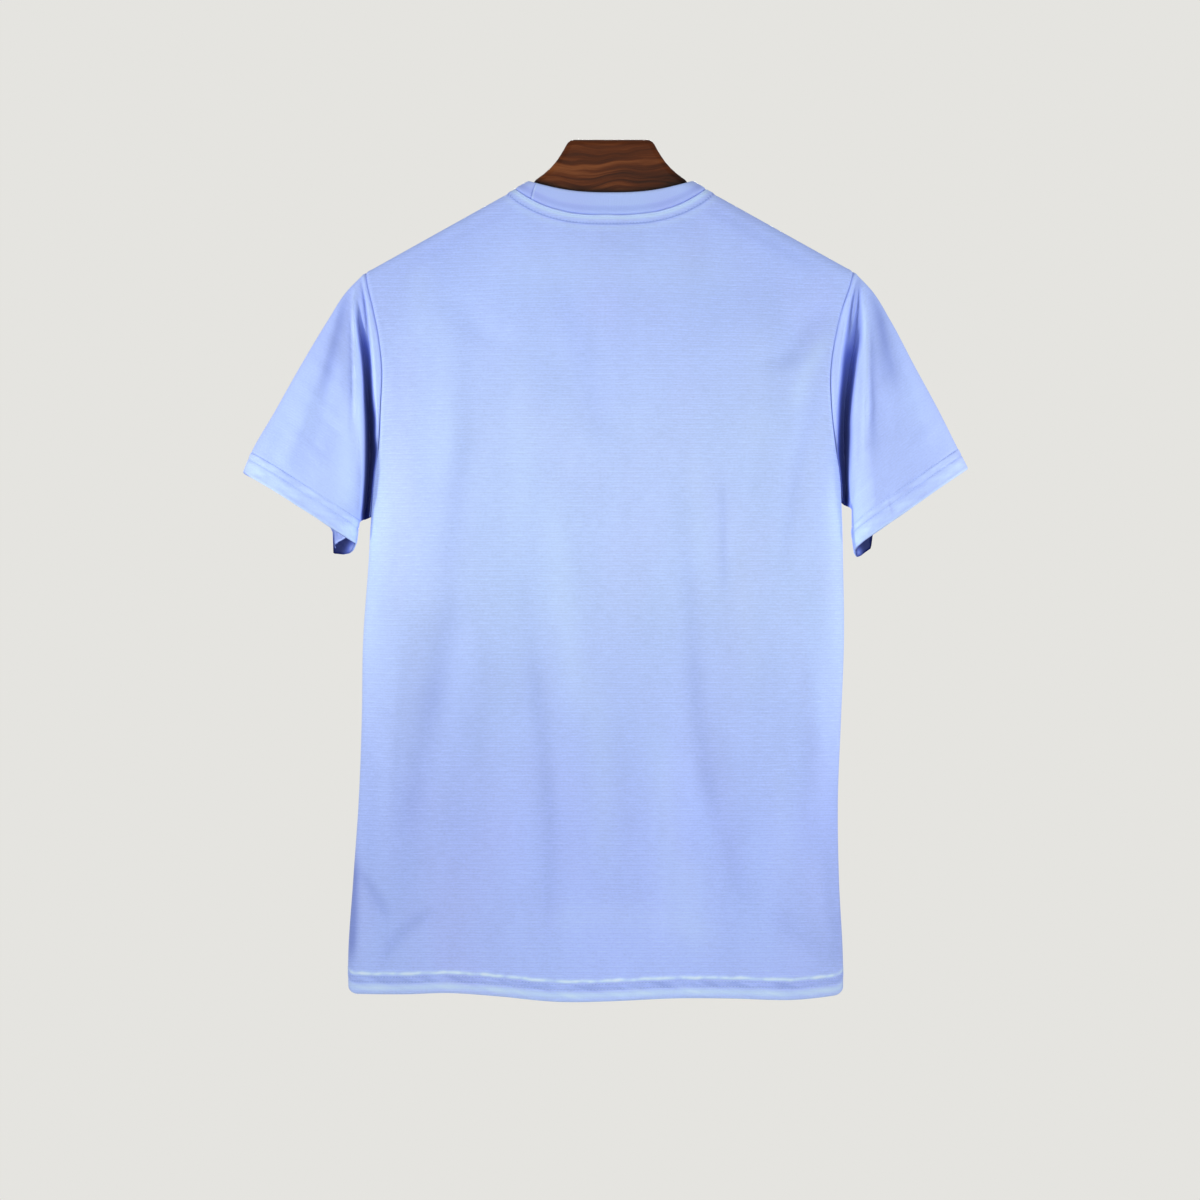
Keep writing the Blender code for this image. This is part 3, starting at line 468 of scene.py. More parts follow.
def body_depth(x, z, face):
    """Distance of the cloth's outer surface from the middle plane."""
    x, z = np.asarray(x, float), np.asarray(z, float)
    low, high = section_edge_x("left", z), section_edge_x("right", z)
    across = (2 * x - low - high) / (high - low)
    section = np.clip(1 - np.abs(across) ** SECTION_POWER, 0, 1) ** (1 / SECTION_POWER)
    from_middle = np.where(np.abs(x) < NAPE_HALF_WIDTH, (x * x / NAPE_HALF_WIDTH + NAPE_HALF_WIDTH) / 2, x)
    below = np.clip(shoulder_line(from_middle) - z, 0, None)
    up = np.clip(1 - below / SHOULDER_ROUND_HEIGHT, 0, 1)
    rounding = (1 - up**SHOULDER_ROUND_POWER) ** (1 / SHOULDER_ROUND_POWER)
    more = column(BODY_DEPTHS, face, z) - SHOULDER_ROUND_DEPTH
    depth = section * (SHOULDER_ROUND_DEPTH * rounding + more * ease(below / SHOULDER_TO_CHEST))
    off_sides = ease(section / SIDE_FADE)
    folds = FOLD_EMPHASIS * folds_at(FOLDS[face], x, z) * off_sides * ease(below / FOLDS_BELOW)
    waves = 1.8 * ripple(x + 0.12 * z, 118.0, 0.7 + (face == "front"))
    waves = waves + 0.45 * ripple(x - 0.1 * z, 43.0, 2.1)
    return np.clip(depth - folds - waves * ease((-z - WAVES_BELOW) / WAVES_GROW) * off_sides, 0, None)


def body_point(x, z, face):
    return np.stack(np.broadcast_arrays(x, OUT_Y[face] * body_depth(x, z, face), z), axis=-1)


# ---------------- grids of points, and meshes from them


def unit(vectors):
    return vectors / np.maximum(np.linalg.norm(vectors, axis=-1, keepdims=True), 1e-12)


def grid_normals(points, around=False):
    down = np.gradient(points, axis=0)
    if around:
        across = np.roll(points, -1, axis=1) - np.roll(points, 1, axis=1)
    else:
        across = np.gradient(points, axis=1)
    return unit(np.cross(across, down))


def lengths_along(points, axis):
    """How far along the cloth each point is, from the first of its row or column."""
    steps = np.linalg.norm(np.diff(points, axis=axis), axis=-1)
    first = np.zeros_like(np.take(steps, [0], axis=axis))
    return np.cumsum(np.concatenate([first, steps], axis=axis), axis=axis)


def spaced(start, end, step_at):
    """Places from start to end, step_at(place) apart, stretched a little to end there."""
    places = [start]
    while places[-1] < end:
        places.append(places[-1] + step_at(places[-1]))
    return start + (np.array(places) - start) * (end - start) / (places[-1] - start)


def quads(*corners):
    return np.stack(corners, axis=-1).reshape(-1, 4)


def new_piece(name, points, faces, material):
    mesh = bpy.data.meshes.new(name)
    mesh.from_pydata(points * MM, [], faces)
    mesh.materials.append(material)
    piece = bpy.data.objects.new(name, mesh)
    bpy.context.scene.collection.objects.link(piece)
    return piece


def face_outward(piece):
    bpy.ops.object.select_all(action="DESELECT")
    piece.select_set(True)
    bpy.context.view_layer.objects.active = piece
    bpy.ops.object.mode_set(mode="EDIT")
    bpy.ops.mesh.select_all(action="SELECT")
    bpy.ops.mesh.normals_make_consistent(inside=False)
    bpy.ops.object.mode_set(mode="OBJECT")


def sewn_wall(name, outer, normals, thickness, uv, material, painted_lightness, shade=0.0, inside=0.4, around=False):
    """A closed thin wall of cloth behind a grid of points.

    It carries its own UV map, the painted shade at each point (at least as deep as inside on its inner
    face), and the painted light or shade of its crests, grooves and folds.
    """
    rows, columns = painted_lightness.shape
    count = rows * columns
    j = np.arange(columns if around else columns - 1)
    k = (j + 1) % columns
    i = np.arange(rows - 1)[:, None] * columns
    below = i + columns
    out_faces = quads(i + j, i + k, below + k, below + j)
    last = count - columns
    rims = [
        quads(j + count, k + count, k, j),
        quads(last + j, last + k, last + k + count, last + j + count),
    ]
    if not around:
        left = i[:, 0]
        right = left + columns - 1
        rims.append(quads(left, left + columns, left + columns + count, left + count))
        rims.append(quads(right + count, right + columns + count, right + columns, right))
    faces = np.concatenate([out_faces, out_faces[:, ::-1] + count, *rims])
    inner = outer - normals * thickness[..., None]
    points = np.concatenate([outer.reshape(-1, 3), inner.reshape(-1, 3)])

    middle_face = faces[len(out_faces) // 2]
    first, second, _, fourth = points[middle_face]
    if np.dot(np.cross(second - first, fourth - first), normals.reshape(-1, 3)[middle_face[0]]) < 0:
        faces = faces[:, ::-1]
    piece = new_piece(name, points, faces.tolist(), material)
    mesh = piece.data

    corner = faces % count
    u, v = np.asarray(uv[0]).reshape(-1), uv[1].reshape(-1)
    corner_u = u[corner]
    if around:
        # The faces that close a ring run on past its last column, instead of back to the first.
        in_column = corner % columns
        closing = (in_column == 0).any(axis=1) & (in_column == columns - 1).any(axis=1)
        whole_turn = u[columns - 1 :: columns] * columns / (columns - 1)
        corner_u = np.where((in_column == 0) & closing[:, None], whole_turn[corner // columns], corner_u)
    uvs = np.stack([corner_u * MM, v[corner] * MM], axis=-1).astype(np.float32)
    mesh.uv_layers.new(name="cloth").data.foreach_set("uv", uvs.ravel())
    shade = np.broadcast_to(shade, painted_lightness.shape)
    # Painted shade, and painted light or shade, at each point, for the cloth's finish to turn into colour.
    for key, outside, behind in (("shade", shade, np.maximum(shade, inside)), ("painted_lightness", painted_lightness, 0 * painted_lightness)):
        values = np.stack([outside, behind]).astype(np.float32)
        mesh.attributes.new(key, "FLOAT", "POINT").data.foreach_set("value", values.ravel())
    mesh.validate()
    mesh.shade_smooth()
    mesh.set_sharp_from_angle(angle=math.radians(50))
    return piece


# ---------------- hems and seams


def hem_relief(hem, height, along, turn):
    """How far a hem stands out at a height above its edge, and its painted highlights and painted shade."""
    stitched = bell(height, hem.low_row, GROOVE_WIDTH) + bell(height, hem.high_row, GROOVE_WIDTH)
    mid_rows = (hem.low_row + hem.high_row) / 2
    band = ease((hem.high_row + 0.8 - height) / 1.4)
    uneven = np.clip(0.8 + 0.42 * ripple(along, 37, turn) + 0.24 * ripple(along, 12, turn + 1), 0.3, 1.25)
    ridge = uneven * bell(height + 0.5 * ripple(along, 29, turn), hem.ridge, hem.ridge_width)
    pucker = ripple(along + 0.5 * height, 9.5, turn) * bell(height, mid_rows, 3.2)
    pucker = pucker + 1.2 * ripple(along - 0.4 * height, 21.0, turn + 1) * bell(height, hem.low_row / 2, 4.5)
    relief = hem.raise_by * band + hem.puff * ridge + hem.pucker * pucker
    relief = relief - GROOVE_DEPTH * stitched - 0.9 * turned_in(height, 1.8)
    patches = ripple(along + 1.4 * height, 58, turn + 2) * band * ease(height / 5)
    streaks = ripple(along + 3.0 * height, 23, turn + 3) * band * ease(height / 4)
    # Painted highlights on the ridge, the lower band and the very edge; painted shade in the stitched
    # grooves and between the rows.
    painted_lightness = hem.glow * ridge - GROOVE_DARK * stitched + hem.shade * bell(height, mid_rows - 0.6, 2.8)
    painted_lightness = painted_lightness + hem.lower * bell(height, 0.55 * hem.low_row, 0.32 * hem.low_row)
    return relief, painted_lightness + 0.25 * patches + 0.16 * streaks + 0.3 * bell(height, 0.6, 0.8)


def hem_thickness(hem, height, share=1.0):
    return CLOTH * (1 + DOUBLED * ease(hem.high_row + 1.5 - height) * share)


def seam_roll(distance):
    """How far the cloth dips beside a seam."""
    return 0.25 * bell(distance, 3.8, 1.6) - SEAM_ROLL * turned_in(distance, SEAM_ROLL_WIDTH)


def neck_line(face, count=161):
    """Points along the neck seam of one face."""
    x = NECK_HALF_WIDTH * np.sin(np.linspace(-math.pi / 2, math.pi / 2, count))
    return body_point(x, neck_curve(x, NECK_SEAM[face]), face)


def distance_to(line, points, reach):
    """Least distance from each point to a line of points, looked for only within reach in z."""
    distance = np.full(points.shape[:2], FAR)
    near = points[..., 2] > line[:, 2].min() - reach
    distance[near] = np.linalg.norm(points[near][:, None] - line, axis=-1).min(axis=1)
    return distance


def neck_relief(distance):
    """How far the band below the collar stands out, and its painted highlights and painted shade."""
    relief = NECK_BAND_RAISE * ease((NECK_BAND - distance) / 0.9) - 1.3 * turned_in(distance, 1.1)
    return relief + soft_lines(distance, NECK_GROOVES), soft_lines(distance, NECK_LINES)


# ---------------- front and back


def panel_columns(step):
    edge = np.array(EDGE_STEPS)

    def step_at(x):
        return min(step, NECK_DETAIL + 0.2 * abs(abs(x) - NECK_HALF_WIDTH))

    middle = spaced(-HALF_WIDTH + edge[-1], HALF_WIDTH - edge[-1], step_at)
    return np.concatenate([-HALF_WIDTH + edge[:-1], middle, HALF_WIDTH - edge[-2::-1]]) / HALF_WIDTH


def hem_edge(across):
    into_corner = np.clip(HEM_CORNER - HALF_WIDTH * (1 - np.abs(across)), 0, HEM_CORNER)
    rounding = HEM_CORNER - np.sqrt(HEM_CORNER**2 - into_corner**2)
    return column(HEM_LINE, "z", across, key="across") + rounding


def panel_grid(face, step):
    """Points of one panel, hem to top, with its columns' places across and the z of its hem and top."""
    across = panel_columns(step)
    top_x = (SHOULDER_X["right"] - SHOULDER_X["left"]) / 2 + across * HALF_WIDTH
    neck_z = neck_curve(top_x, NECK_SEAM[face])
    top_z = np.where(np.abs(top_x) < NECK_HALF_WIDTH, neck_z, shoulder_line(top_x))
    hem_z = hem_edge(across)
    armpit_z = between(ARMPIT_Z["left"], ARMPIT_Z["right"], (across + 1) / 2)
    skirt_z = hem_z + HEM_STEPS[-1]
    yoke_z = top_z - TOP_STEPS[-1]
    skirt_rows = round(float(np.mean(armpit_z - skirt_z)) / step)
    yoke_rows = round(float(np.max(yoke_z - armpit_z)) / step)
    rows = [hem_z + h for h in HEM_STEPS]
    rows += [between(skirt_z, armpit_z, (i + 1) / skirt_rows) for i in range(skirt_rows)]
    rows += [between(armpit_z, yoke_z, (i + 1) / yoke_rows) for i in range(yoke_rows)]
    rows += [top_z - h for h in TOP_STEPS[-2::-1]]
    z = np.array(rows)
    low, high = seam_x("left", z), seam_x("right", z)
    return across, hem_z, top_z, (low + high) / 2 + (high - low) / 2 * across, z


def hem_sway(across, height, face):
    """The hem's cloth leans out and in by turns along its length."""
    front = face == "front"
    lean = SWAY[0] * ripple(across * HALF_WIDTH, SWAY_WAVES[0], 0.4 + 1.7 * front)
    fine = SWAY[1] * ripple(across * HALF_WIDTH, SWAY_WAVES[1], 1.9 + front)
    return (lean + fine) * ease(1 - height / SWAY_HEIGHT) * ease((1 - np.abs(across)) / 0.08)


def panel(face, step, material):
    across, hem_z, top_z, x, z = panel_grid(face, step)
    height = z - hem_z
    points = body_point(x, z, face)
    points[..., 1] += OUT_Y[face] * hem_sway(across, height, face)
    normals = grid_normals(points) * -OUT_Y[face]
    relief, painted_lightness = hem_relief(BODY_HEM, height, x - HEM_WAVES_FROM, HEM_WAVES_TURN[face])
    to_side = np.minimum(x - seam_x("left", z), seam_x("right", z) - x)
    beside = ease(to_side / 3.0)
    to_shoulder = np.where(np.abs(x) > NECK_HALF_WIDTH, (top_z - z) * 1.6, FAR)
    neck, neck_painted_lightness = neck_relief(distance_to(neck_line(face), points, NECK_REACH))
    relief = relief * beside + seam_roll(to_side) + SHOULDER_ROLL * seam_roll(to_shoulder) + neck
    on_armhole = ease((z - ARMPIT_Z["left"] - ARMHOLE_LINE_UP) / 30)
    painted_lightness = painted_lightness * beside + on_armhole * np.minimum(soft_lines(to_side, SEAM_LINES), 0) + neck_painted_lightness
    # Painted light and shade along the folds: bands of it on the back, and on the front darker troughs and
    # lighter ridges.
    if face == "back":
        painted_lightness = painted_lightness + sum(painted_band_along(t, x, z) for t in BACK_PAINTED_LIGHT)
    else:
        painted_lightness = painted_lightness - FRONT_FOLD_SHADE * folds_at(FOLDS[face], x, z) * beside
    outer = points + normals * relief[..., None]
    for seam in (outer[:, 0], outer[:, -1], outer[-1]):
        seam[:, 1] += OUT_Y[face] * SEAM_GAP / 2
    thickness = hem_thickness(BODY_HEM, height, ease(to_side / 6.0))
    u, v = lengths_along(points, 1), lengths_along(points, 0)
    middle, skirt = u.shape[1] // 2, len(HEM_STEPS)
    uv = (u - u[:, [middle]], v - v[[skirt]] + z[[skirt]])
    piece = sewn_wall(face + "_cloth", outer, normals, thickness, uv, material, painted_lightness)
    sewn = [np.argmin(np.abs(HEM_STEPS - row)) for row in (BODY_HEM.low_row, BODY_HEM.high_row)]
    return piece, [(outer[row], normals[row]) for row in sewn]


# ---------------- sleeves

SLEEVE_TURNS = 208
LEAD_RINGS = 9  # from the armhole to the pinch
PINCH_RINGS = np.linspace(-1.5, 1.6, 38)
PINCH_RING_GAP = 0.0022
OUTER_RINGS = 38
OUTER_RING_GAP = 0.004
ROW_START = 0.872  # close rings from here on, across the upper row of stitches
ROW_RINGS = 15
CUFF_RINGS = 26
MOUTH_REACH = {"left": 258.0, "right": 238.0}  # out to this x the inside of a cuff lies in deep shade
MOUTH_SHADE = 0.3  # shade of the inside beyond it
MOUTH_SOFT = {"back": 26.0, "front": 2.0}
Glow = namedtuple("Glow", "x z slope width height strength")  # a softly lit place inside a cuff
MOUTH_GLOWS = {"left": Glow(232.5, -368, 0.7, 6, 6.5, 0.7), "right": Glow(223.2, -372, 0, 3.2, 4.2, 0.6)}
CUFF_RIM = Line(0.9, 0.7, 0.5)  # a painted highlight along the cuff's edge
LEFT_CORNER = Line(0.0, 1.1, -3.2)  # painted shade where the left cuff's outer corner turns away from the light
LEFT_CORNER_X = 331.0
LEFT_CORNER_WIDTH = 5.5


def armhole_z(side, down):
    return between(ARMPIT_Z[side], shoulder_line(SHOULDER_X[side]), down)


def sleeve_layout(side, down, along, face):
    """x from the middle plane and z of a sleeve's cloth. `down` runs from armpit 0 to shoulder 1."""
    sleeve, armpit_z, top_x = SLEEVES[side], ARMPIT_Z[side], SHOULDER_X[side]
    armpit_x, top_z = column(SEAM_LINE, side, armpit_z), shoulder_line(top_x)
    arm_z = armhole_z(side, down)
    arm_x = np.where(down >= 1, top_x, column(SEAM_LINE, side, arm_z))
    share = np.clip(along / HEM_START, 0, 1)
    edge_z = between(top_z, sleeve.hem_outer[1], share)
    edge_x = column(sleeve.outer, "x", edge_z)
    under_x = between(armpit_x, sleeve.hem_inner[0], ease(share / sleeve.under_share))
    under_z = between(armpit_z, sleeve.hem_inner[1], share**2)
    hem_x, hem_z = [between(a, b, down) for a, b in zip(sleeve.hem_inner, sleeve.hem_outer)]
    cuff_x, cuff_z = [between(a, b, down) for a, b in zip(sleeve.cuff_inner, sleeve.cuff_outer)]

    def within(arm, hem, under, edge, armpit, top):
        """A smooth surface between its four edges."""
        corners = (1 - share) * ((1 - down) * armpit + down * top) + share * hem
        return (1 - share) * arm + share * hem + (1 - down) * under + down * edge - corners

    hem_share = np.clip((along - HEM_START) / (1 - HEM_START), 0, 1)
    x = within(arm_x, hem_x, under_x, edge_x, armpit_x, top_x) + (cuff_x - hem_x) * hem_share
    z = within(arm_z, hem_z, under_z, edge_z, armpit_z, top_z) + (cuff_z - hem_z) * hem_share
    drops = CUFF_DROPS[face][side]
    drop = np.interp(down, [d.down for d in drops], [d.by for d in drops])
    return x, z - drop * ease((along - 0.4) / 0.6)


def sleeve_steps(side, turns):
    """How far along the sleeve each ring is at each turn: close together across the pinch."""
    pinch = SLEEVES[side].pinch
    down = (1 - np.cos(turns)) / 2
    level = np.ones(len(turns))
    before = level * ARMHOLE_MARGIN
    across = []
    for i, offset in enumerate(PINCH_RINGS):
        low, high = before, level * HEM_START
        for _ in range(20):
            middle = (low + high) / 2
            x, z = sleeve_layout(side, down, middle, "back")
            width = "outer_width" if offset > 0 else "inner_width"
            short = x < column(pinch, "x", z) + offset * column(pinch, width, z)
            low, high = np.where(short, middle, low), np.where(short, high, middle)
        room = ROW_START - OUTER_RING_GAP * (len(PINCH_RINGS) - i + OUTER_RINGS)
        before = np.clip(low, before + (PINCH_RING_GAP if i else 0.0), room)
        across.append(before)
    lead = [across[0] * (i / LEAD_RINGS) for i in range(LEAD_RINGS)]
    lead[1] = across[0] * 0.35 / LEAD_RINGS
    outward = [between(across[-1], ROW_START, (i + 1) / OUTER_RINGS) for i in range(OUTER_RINGS)]
    outward += [level * t for t in np.linspace(ROW_START, HEM_START, ROW_RINGS + 1)[1:]]
    band = 1 - (1 - np.linspace(0, 1, CUFF_RINGS + 1)[1:]) ** 1.15
    return np.array(lead + across + outward + [level * between(HEM_START, 1.0, t) for t in band])


def sleeve_points(side, turns):
    """Rings from armhole to cuff, the pinch's painted shade at each point, and the sleeve's painted light or
    shade.
    """
    sleeve = SLEEVES[side]
    along = sleeve_steps(side, turns)
    turn = np.broadcast_to(turns, along.shape)
    angle = np.minimum(turn, 2 * math.pi - turn)
    down = (1 - np.cos(angle)) / 2
    sine = np.sin(angle)
    arm_z = armhole_z(side, down)
    points = np.zeros(along.shape + (3,))
    deep, lit = np.zeros(along.shape), np.zeros(along.shape)
    for face in FACES:
        here = turn <= math.pi if face == "back" else turn > math.pi
        x, z = sleeve_layout(side, down, along, face)
        armhole = body_depth(seam_x(side, arm_z), arm_z, face)
        armhole = np.where((down <= 0) | (down >= 1), 0.0, armhole)
        rounded = column(SLEEVE_DEPTHS, face, along, key="along") * sine**SLEEVE_SECTION_POWER
        off_seam = ease(along / PINCH_START) * ease(sine / 0.35)
        beside_seam = ease(along / NARROW_START) * ease(sine / 0.35)
        wide = folds_at([f for f in sleeve.folds[face] if f.width >= NARROW], x, z)
        narrow = folds_at([f for f in sleeve.folds[face] if f.width < NARROW], x, z) * beside_seam
        soft = 0.7 * ripple(x + 0.4 * z, 61, 0.8) + 0.35 * ripple(x - z, 27, 2.2)
        depth = between(armhole, rounded, ease(along / ARMHOLE_BLEND)) - (wide + soft) * off_seam - narrow
        middle, share, dark, outer_width, inner_width = [
            column(sleeve.pinch, name, z) for name in ("x", "share", "dark", "outer_width", "inner_width")
        ]
        outside = x > middle
        off = np.abs((x - middle) / np.where(outside, outer_width, inner_width))
        pinch = np.exp(-(off ** np.where(outside, *PINCH_POWERS))) * share * ease(along / PINCH_START)
        gap = PINCH_HALF_GAP * ease(sine / 0.4)
        floor = OUT_Y[face] * PINCH_FLOOR * ease(sine / 0.5) + gap
        depth = between(depth, floor, pinch)
        points[here] = np.stack([SIGN[side] * x, OUT_Y[face] * depth, z], axis=-1)[here]
        # The pinch's painted shade, darkest along its middle.
        deep[here] = (np.exp(-(off**PINCH_DARK_POWER)) * dark * ease(along / NARROW_START))[here]
        # Painted light and shade along the back of the sleeve, and on its narrow folds by their depth.
        tints = sum(painted_band_along(t, x, z) for t in SLEEVE_PAINTED_LIGHT[side]) if face == "back" else 0.0
        lit[here] = (tints - narrow / NARROW_FOLD_LIGHT)[here]
    return points, deep, lit


def mouth_shade(side, points, turns, from_cuff):
    """Shade of the cloth inside a sleeve: deep in the corner of its mouth, lighter where it turns out."""
    x, z = np.abs(points[..., 0]), points[..., 2]
    front = turns > math.pi
    soft = np.where(front, MOUTH_SOFT["front"], MOUTH_SOFT["back"])
    corner = ease((MOUTH_REACH[side] - x) / soft) * ease((62 - from_cuff) / 20)
    glow = MOUTH_GLOWS[side]
    lit = bell(x, glow.x, glow.width) * bell(z + glow.slope * (x - glow.x), glow.z, glow.height)
    dark = 1.0 - glow.strength * lit
    if side == "left":
        above = z + 366.2 + 0.6 * (x - 252.1)
        turned_out = (above > 1.4) | ((x > 249.2) & (z > -368.0))
        dark = np.where(turned_out, 0.14, np.where(above > -0.3, 0.0, dark))
        dark = np.where(front, dark, 0.9)
    return between(MOUTH_SHADE, dark, corner)


def sleeve(side, material):
    even = np.linspace(0, 2 * math.pi, SLEEVE_TURNS + 1)[:-1]
    turns = even - 0.175 * np.sin(2 * even)
    points, deep, lit = sleeve_points(side, turns)
    normals = grid_normals(points, around=True) * -SIGN[side]
    from_armhole = lengths_along(points, 0)
    from_cuff = from_armhole[-1] - from_armhole
    around = lengths_along(points[-1:], 1)[0]
    relief, painted_lightness = hem_relief(CUFF_HEM, from_cuff, around, HEM_WAVES_TURN[side])
    relief = relief + seam_roll(from_armhole)
    painted_lightness = painted_lightness + soft_lines(from_armhole, SEAM_LINES) * ease((from_cuff - 25) / 20) + lit
    painted_lightness = painted_lightness + soft_lines(from_cuff, [CUFF_RIM])
    if side == "left":
        in_corner = bell(np.abs(points[..., 0]), LEFT_CORNER_X, LEFT_CORNER_WIDTH)
        painted_lightness = painted_lightness + soft_lines(from_cuff, [LEFT_CORNER]) * in_corner
    outer = points + normals * relief[..., None]
    outer[0] += unit(points[1] - points[0]) * SEAM_GAP
    thickness = hem_thickness(CUFF_HEM, from_cuff)
    uv = (np.broadcast_to(around, painted_lightness.shape), from_cuff)
    inside = mouth_shade(side, points, turns, from_cuff)
    name = "sleeve_cloth_" + side
    piece = sewn_wall(name, outer, normals, thickness, uv, material, painted_lightness, deep, inside, around=True)
    place = np.arange(len(turns))
    sewn = [np.argmin(np.abs(from_cuff - row), axis=0) for row in (CUFF_HEM.low_row, CUFF_HEM.high_row)]
    return piece, [(outer[ring, place], normals[ring, place]) for ring in sewn]


# ---------------- collar

COLLAR_TURNS = 420
COLLAR_STEPS = np.array(
    [0, 0.01, 0.03, 0.06, 0.1, 0.15, 0.21, 0.28, 0.36, 0.44, 0.52, 0.6, 0.68, 0.75, 0.81]
    + [0.86, 0.9, 0.93, 0.96, 0.98, 1.0]
)
COLLAR_THICKNESS = 1.7
COLLAR_RAISE = 0.2
COLLAR_CROWN = 0.55  # how much more its middle stands out
JOIN_AT_SEAM = 56.5  # degrees round from the back's middle to the wearer's left
JOIN_AT_RIM = 66.5
JOIN_GROOVES = table(Line, (0, 0.7, -0.7), (1.9, 0.9, 0.4))
# At the collar's join: a painted highlight beside it, and its own dark line.
JOIN_LINES = table(Line, (1.9, 0.9, 1.4), (0, 0.8, -1.2))
# Up the collar: the seam's dark line, a painted darker middle and a painted lighter strip near the seam.
COLLAR_LINES = table(Line, (0, 0.9, -0.4), (5.2, 2.2, -0.2), (1.6, 1, 0.15))


def collar_points(turns):
    points = np.zeros((len(COLLAR_STEPS), len(turns), 3))
    up = COLLAR_STEPS[:, None]
    for face in FACES:
        here = (np.cos(turns) >= 0) == (face == "back")
        seam, rim = NECK_HALF_WIDTH * np.sin(turns[here]), RIM_HALF_WIDTH * np.sin(turns[here])
        z = between(neck_curve(seam, NECK_SEAM[face]), neck_curve(rim, NECK_RIM[face]), up)
        points[:, here] = body_point(between(seam, rim, up), z, face)
    return points


def collar(material):
    even = np.linspace(0, 2 * math.pi, COLLAR_TURNS + 1)[:-1]
    turns = even + 0.2 * np.sin(2 * even)
    points = collar_points(turns)
    normals = grid_normals(points, around=True)
    if normals[5, 0, 1] > 0:
        normals = -normals
    height = lengths_along(points, 0)
    to_rim = height[-1] - height
    join = 360.0 - between(JOIN_AT_SEAM, JOIN_AT_RIM, COLLAR_STEPS)[:, None]
    off_join = np.radians(np.degrees(turns) - join) * NECK_HALF_WIDTH
    crown = COLLAR_CROWN * ease(height / 4.0) * ease(to_rim / 3.0)
    relief = COLLAR_RAISE + crown + soft_lines(off_join, JOIN_GROOVES)
    relief = relief - 1.1 * turned_in(to_rim, 1.7) - 1.2 * turned_in(height, 1.6)
    outer = points + normals * relief[..., None]
    outer[0] += unit(points[1] - points[0]) * SEAM_GAP
    thickness = COLLAR_THICKNESS * (0.55 + 0.45 * ease(height / 2.0))
    # Painted light and shade: along the join, up the collar, lighter on its upper part and a painted
    # highlight along its rim.
    painted_lightness = soft_lines(off_join, JOIN_LINES) + soft_lines(height, COLLAR_LINES)
    painted_lightness = painted_lightness + 0.3 * ease((height - 7.5) / 2.0) + 0.2 * bell(to_rim, 1.5, 1.2)
    uv = (np.broadcast_to(lengths_along(points[:1], 1)[0], height.shape), height)
    return sewn_wall("collar_rib", outer, normals, thickness, uv, material, painted_lightness, around=True)


def neck_row(face, distance):
    """A line on the topstitched band, at a distance below the neck seam, and its normals."""
    seam = neck_line(face, 241)[2:-2]
    along = np.gradient(seam, axis=0)
    downward = unit(np.stack([along[:, 2], np.zeros(len(seam)), -along[:, 0]], axis=-1))
    downward = np.where(downward[:, [2]] > 0, -downward, downward)
    at = seam + downward * distance
    for _ in range(3):
        at = body_point(at[:, 0], at[:, 2], face)
        at = at + downward * (distance - np.linalg.norm(at - seam, axis=-1))[:, None]
    x, z = at[:, 0], at[:, 2]
    step = 0.4
    across = body_depth(x + step, z, face) - body_depth(x - step, z, face)
    upward = body_depth(x, z + step, face) - body_depth(x, z - step, face)
    outward = np.full(len(at), OUT_Y[face])
    normals = unit(np.stack([-across / (2 * step), outward, -upward / (2 * step)], axis=-1))
    at = body_point(x, z, face) + normals * neck_relief(distance)[0]
    below_ridge = at[:, 2] < shoulder_line(at[:, 0]) - 1.0
    return at[below_ridge], normals[below_ridge]


# ---------------- stitches


def stitches_along(line, normals, closed):
    """Points of short spindles of thread along a line, slightly sunk in the cloth."""
    if closed:
        line, normals = np.vstack([line, line[:1]]), np.vstack([normals, normals[:1]])
    reach = lengths_along(line, 0)
    count = int(reach[-1] // STITCH_PITCH)
    at = (np.arange(count) * reach[-1] / count)[:, None] + STITCH_LENGTH * STITCH_SHARES
    centre = np.stack([np.interp(at, reach, line[:, i]) for i in range(3)], axis=-1)
    normal = unit(np.stack([np.interp(at, reach, normals[:, i]) for i in range(3)], axis=-1))
    beside = unit(np.cross(normal, unit(np.gradient(centre, axis=1))))
    centre = centre + normal * STITCH_LIFTS[:, None]
    around = np.arange(STITCH_SIDES)[:, None] * 2 * math.pi / STITCH_SIDES
    outward = np.cos(around) * normal[:, :, None] + np.sin(around) * beside[:, :, None]
    return (centre[:, :, None] + STITCH_RADIUS * STITCH_GIRTHS[:, None, None] * outward).reshape(-1, 3)


def stitching(name, rows, closed, material):
    points = np.concatenate([stitches_along(line, normals, closed) for line, normals in rows])
    sides = range(STITCH_SIDES)
    whole = len(STITCH_SHARES) * STITCH_SIDES
    last = whole - STITCH_SIDES
    spindle = []
    for ring in range(0, last, STITCH_SIDES):
        for s in sides:
            n = (s + 1) % STITCH_SIDES
            spindle.append((ring + s, ring + n, ring + STITCH_SIDES + n, ring + STITCH_SIDES + s))
    spindle += [tuple(reversed(sides)), tuple(last + s for s in sides)]
    faces = [tuple(start + i for i in face) for start in range(0, len(points), whole) for face in spindle]
    piece = new_piece(name, points, faces, material)
    piece.data.validate()
    piece.data.shade_smooth()
    face_outward(piece)
    return piece


# ---------------- hanger

HANGER_THICKNESS = 20.0
HANGER_EDGE = 5.0
HANGER_CLEARANCE = 3.4
HANGER_NECK_DIP = 1.6
HANGER_ARM_START = 86.0
HANGER_ARM_END = 204.0
HANGER_ARM_HEIGHT = 34.0
HANGER_ARM_TAPER = 0.05
HANGER_UNDERSIDE = (168.0, 60.0)  # x where the arm's straight underside starts and ends
HANGER_END_RADIUS = 13.0
HANGER_END_RAISE = 3.5
HANGER_BASE_Z = -66.0
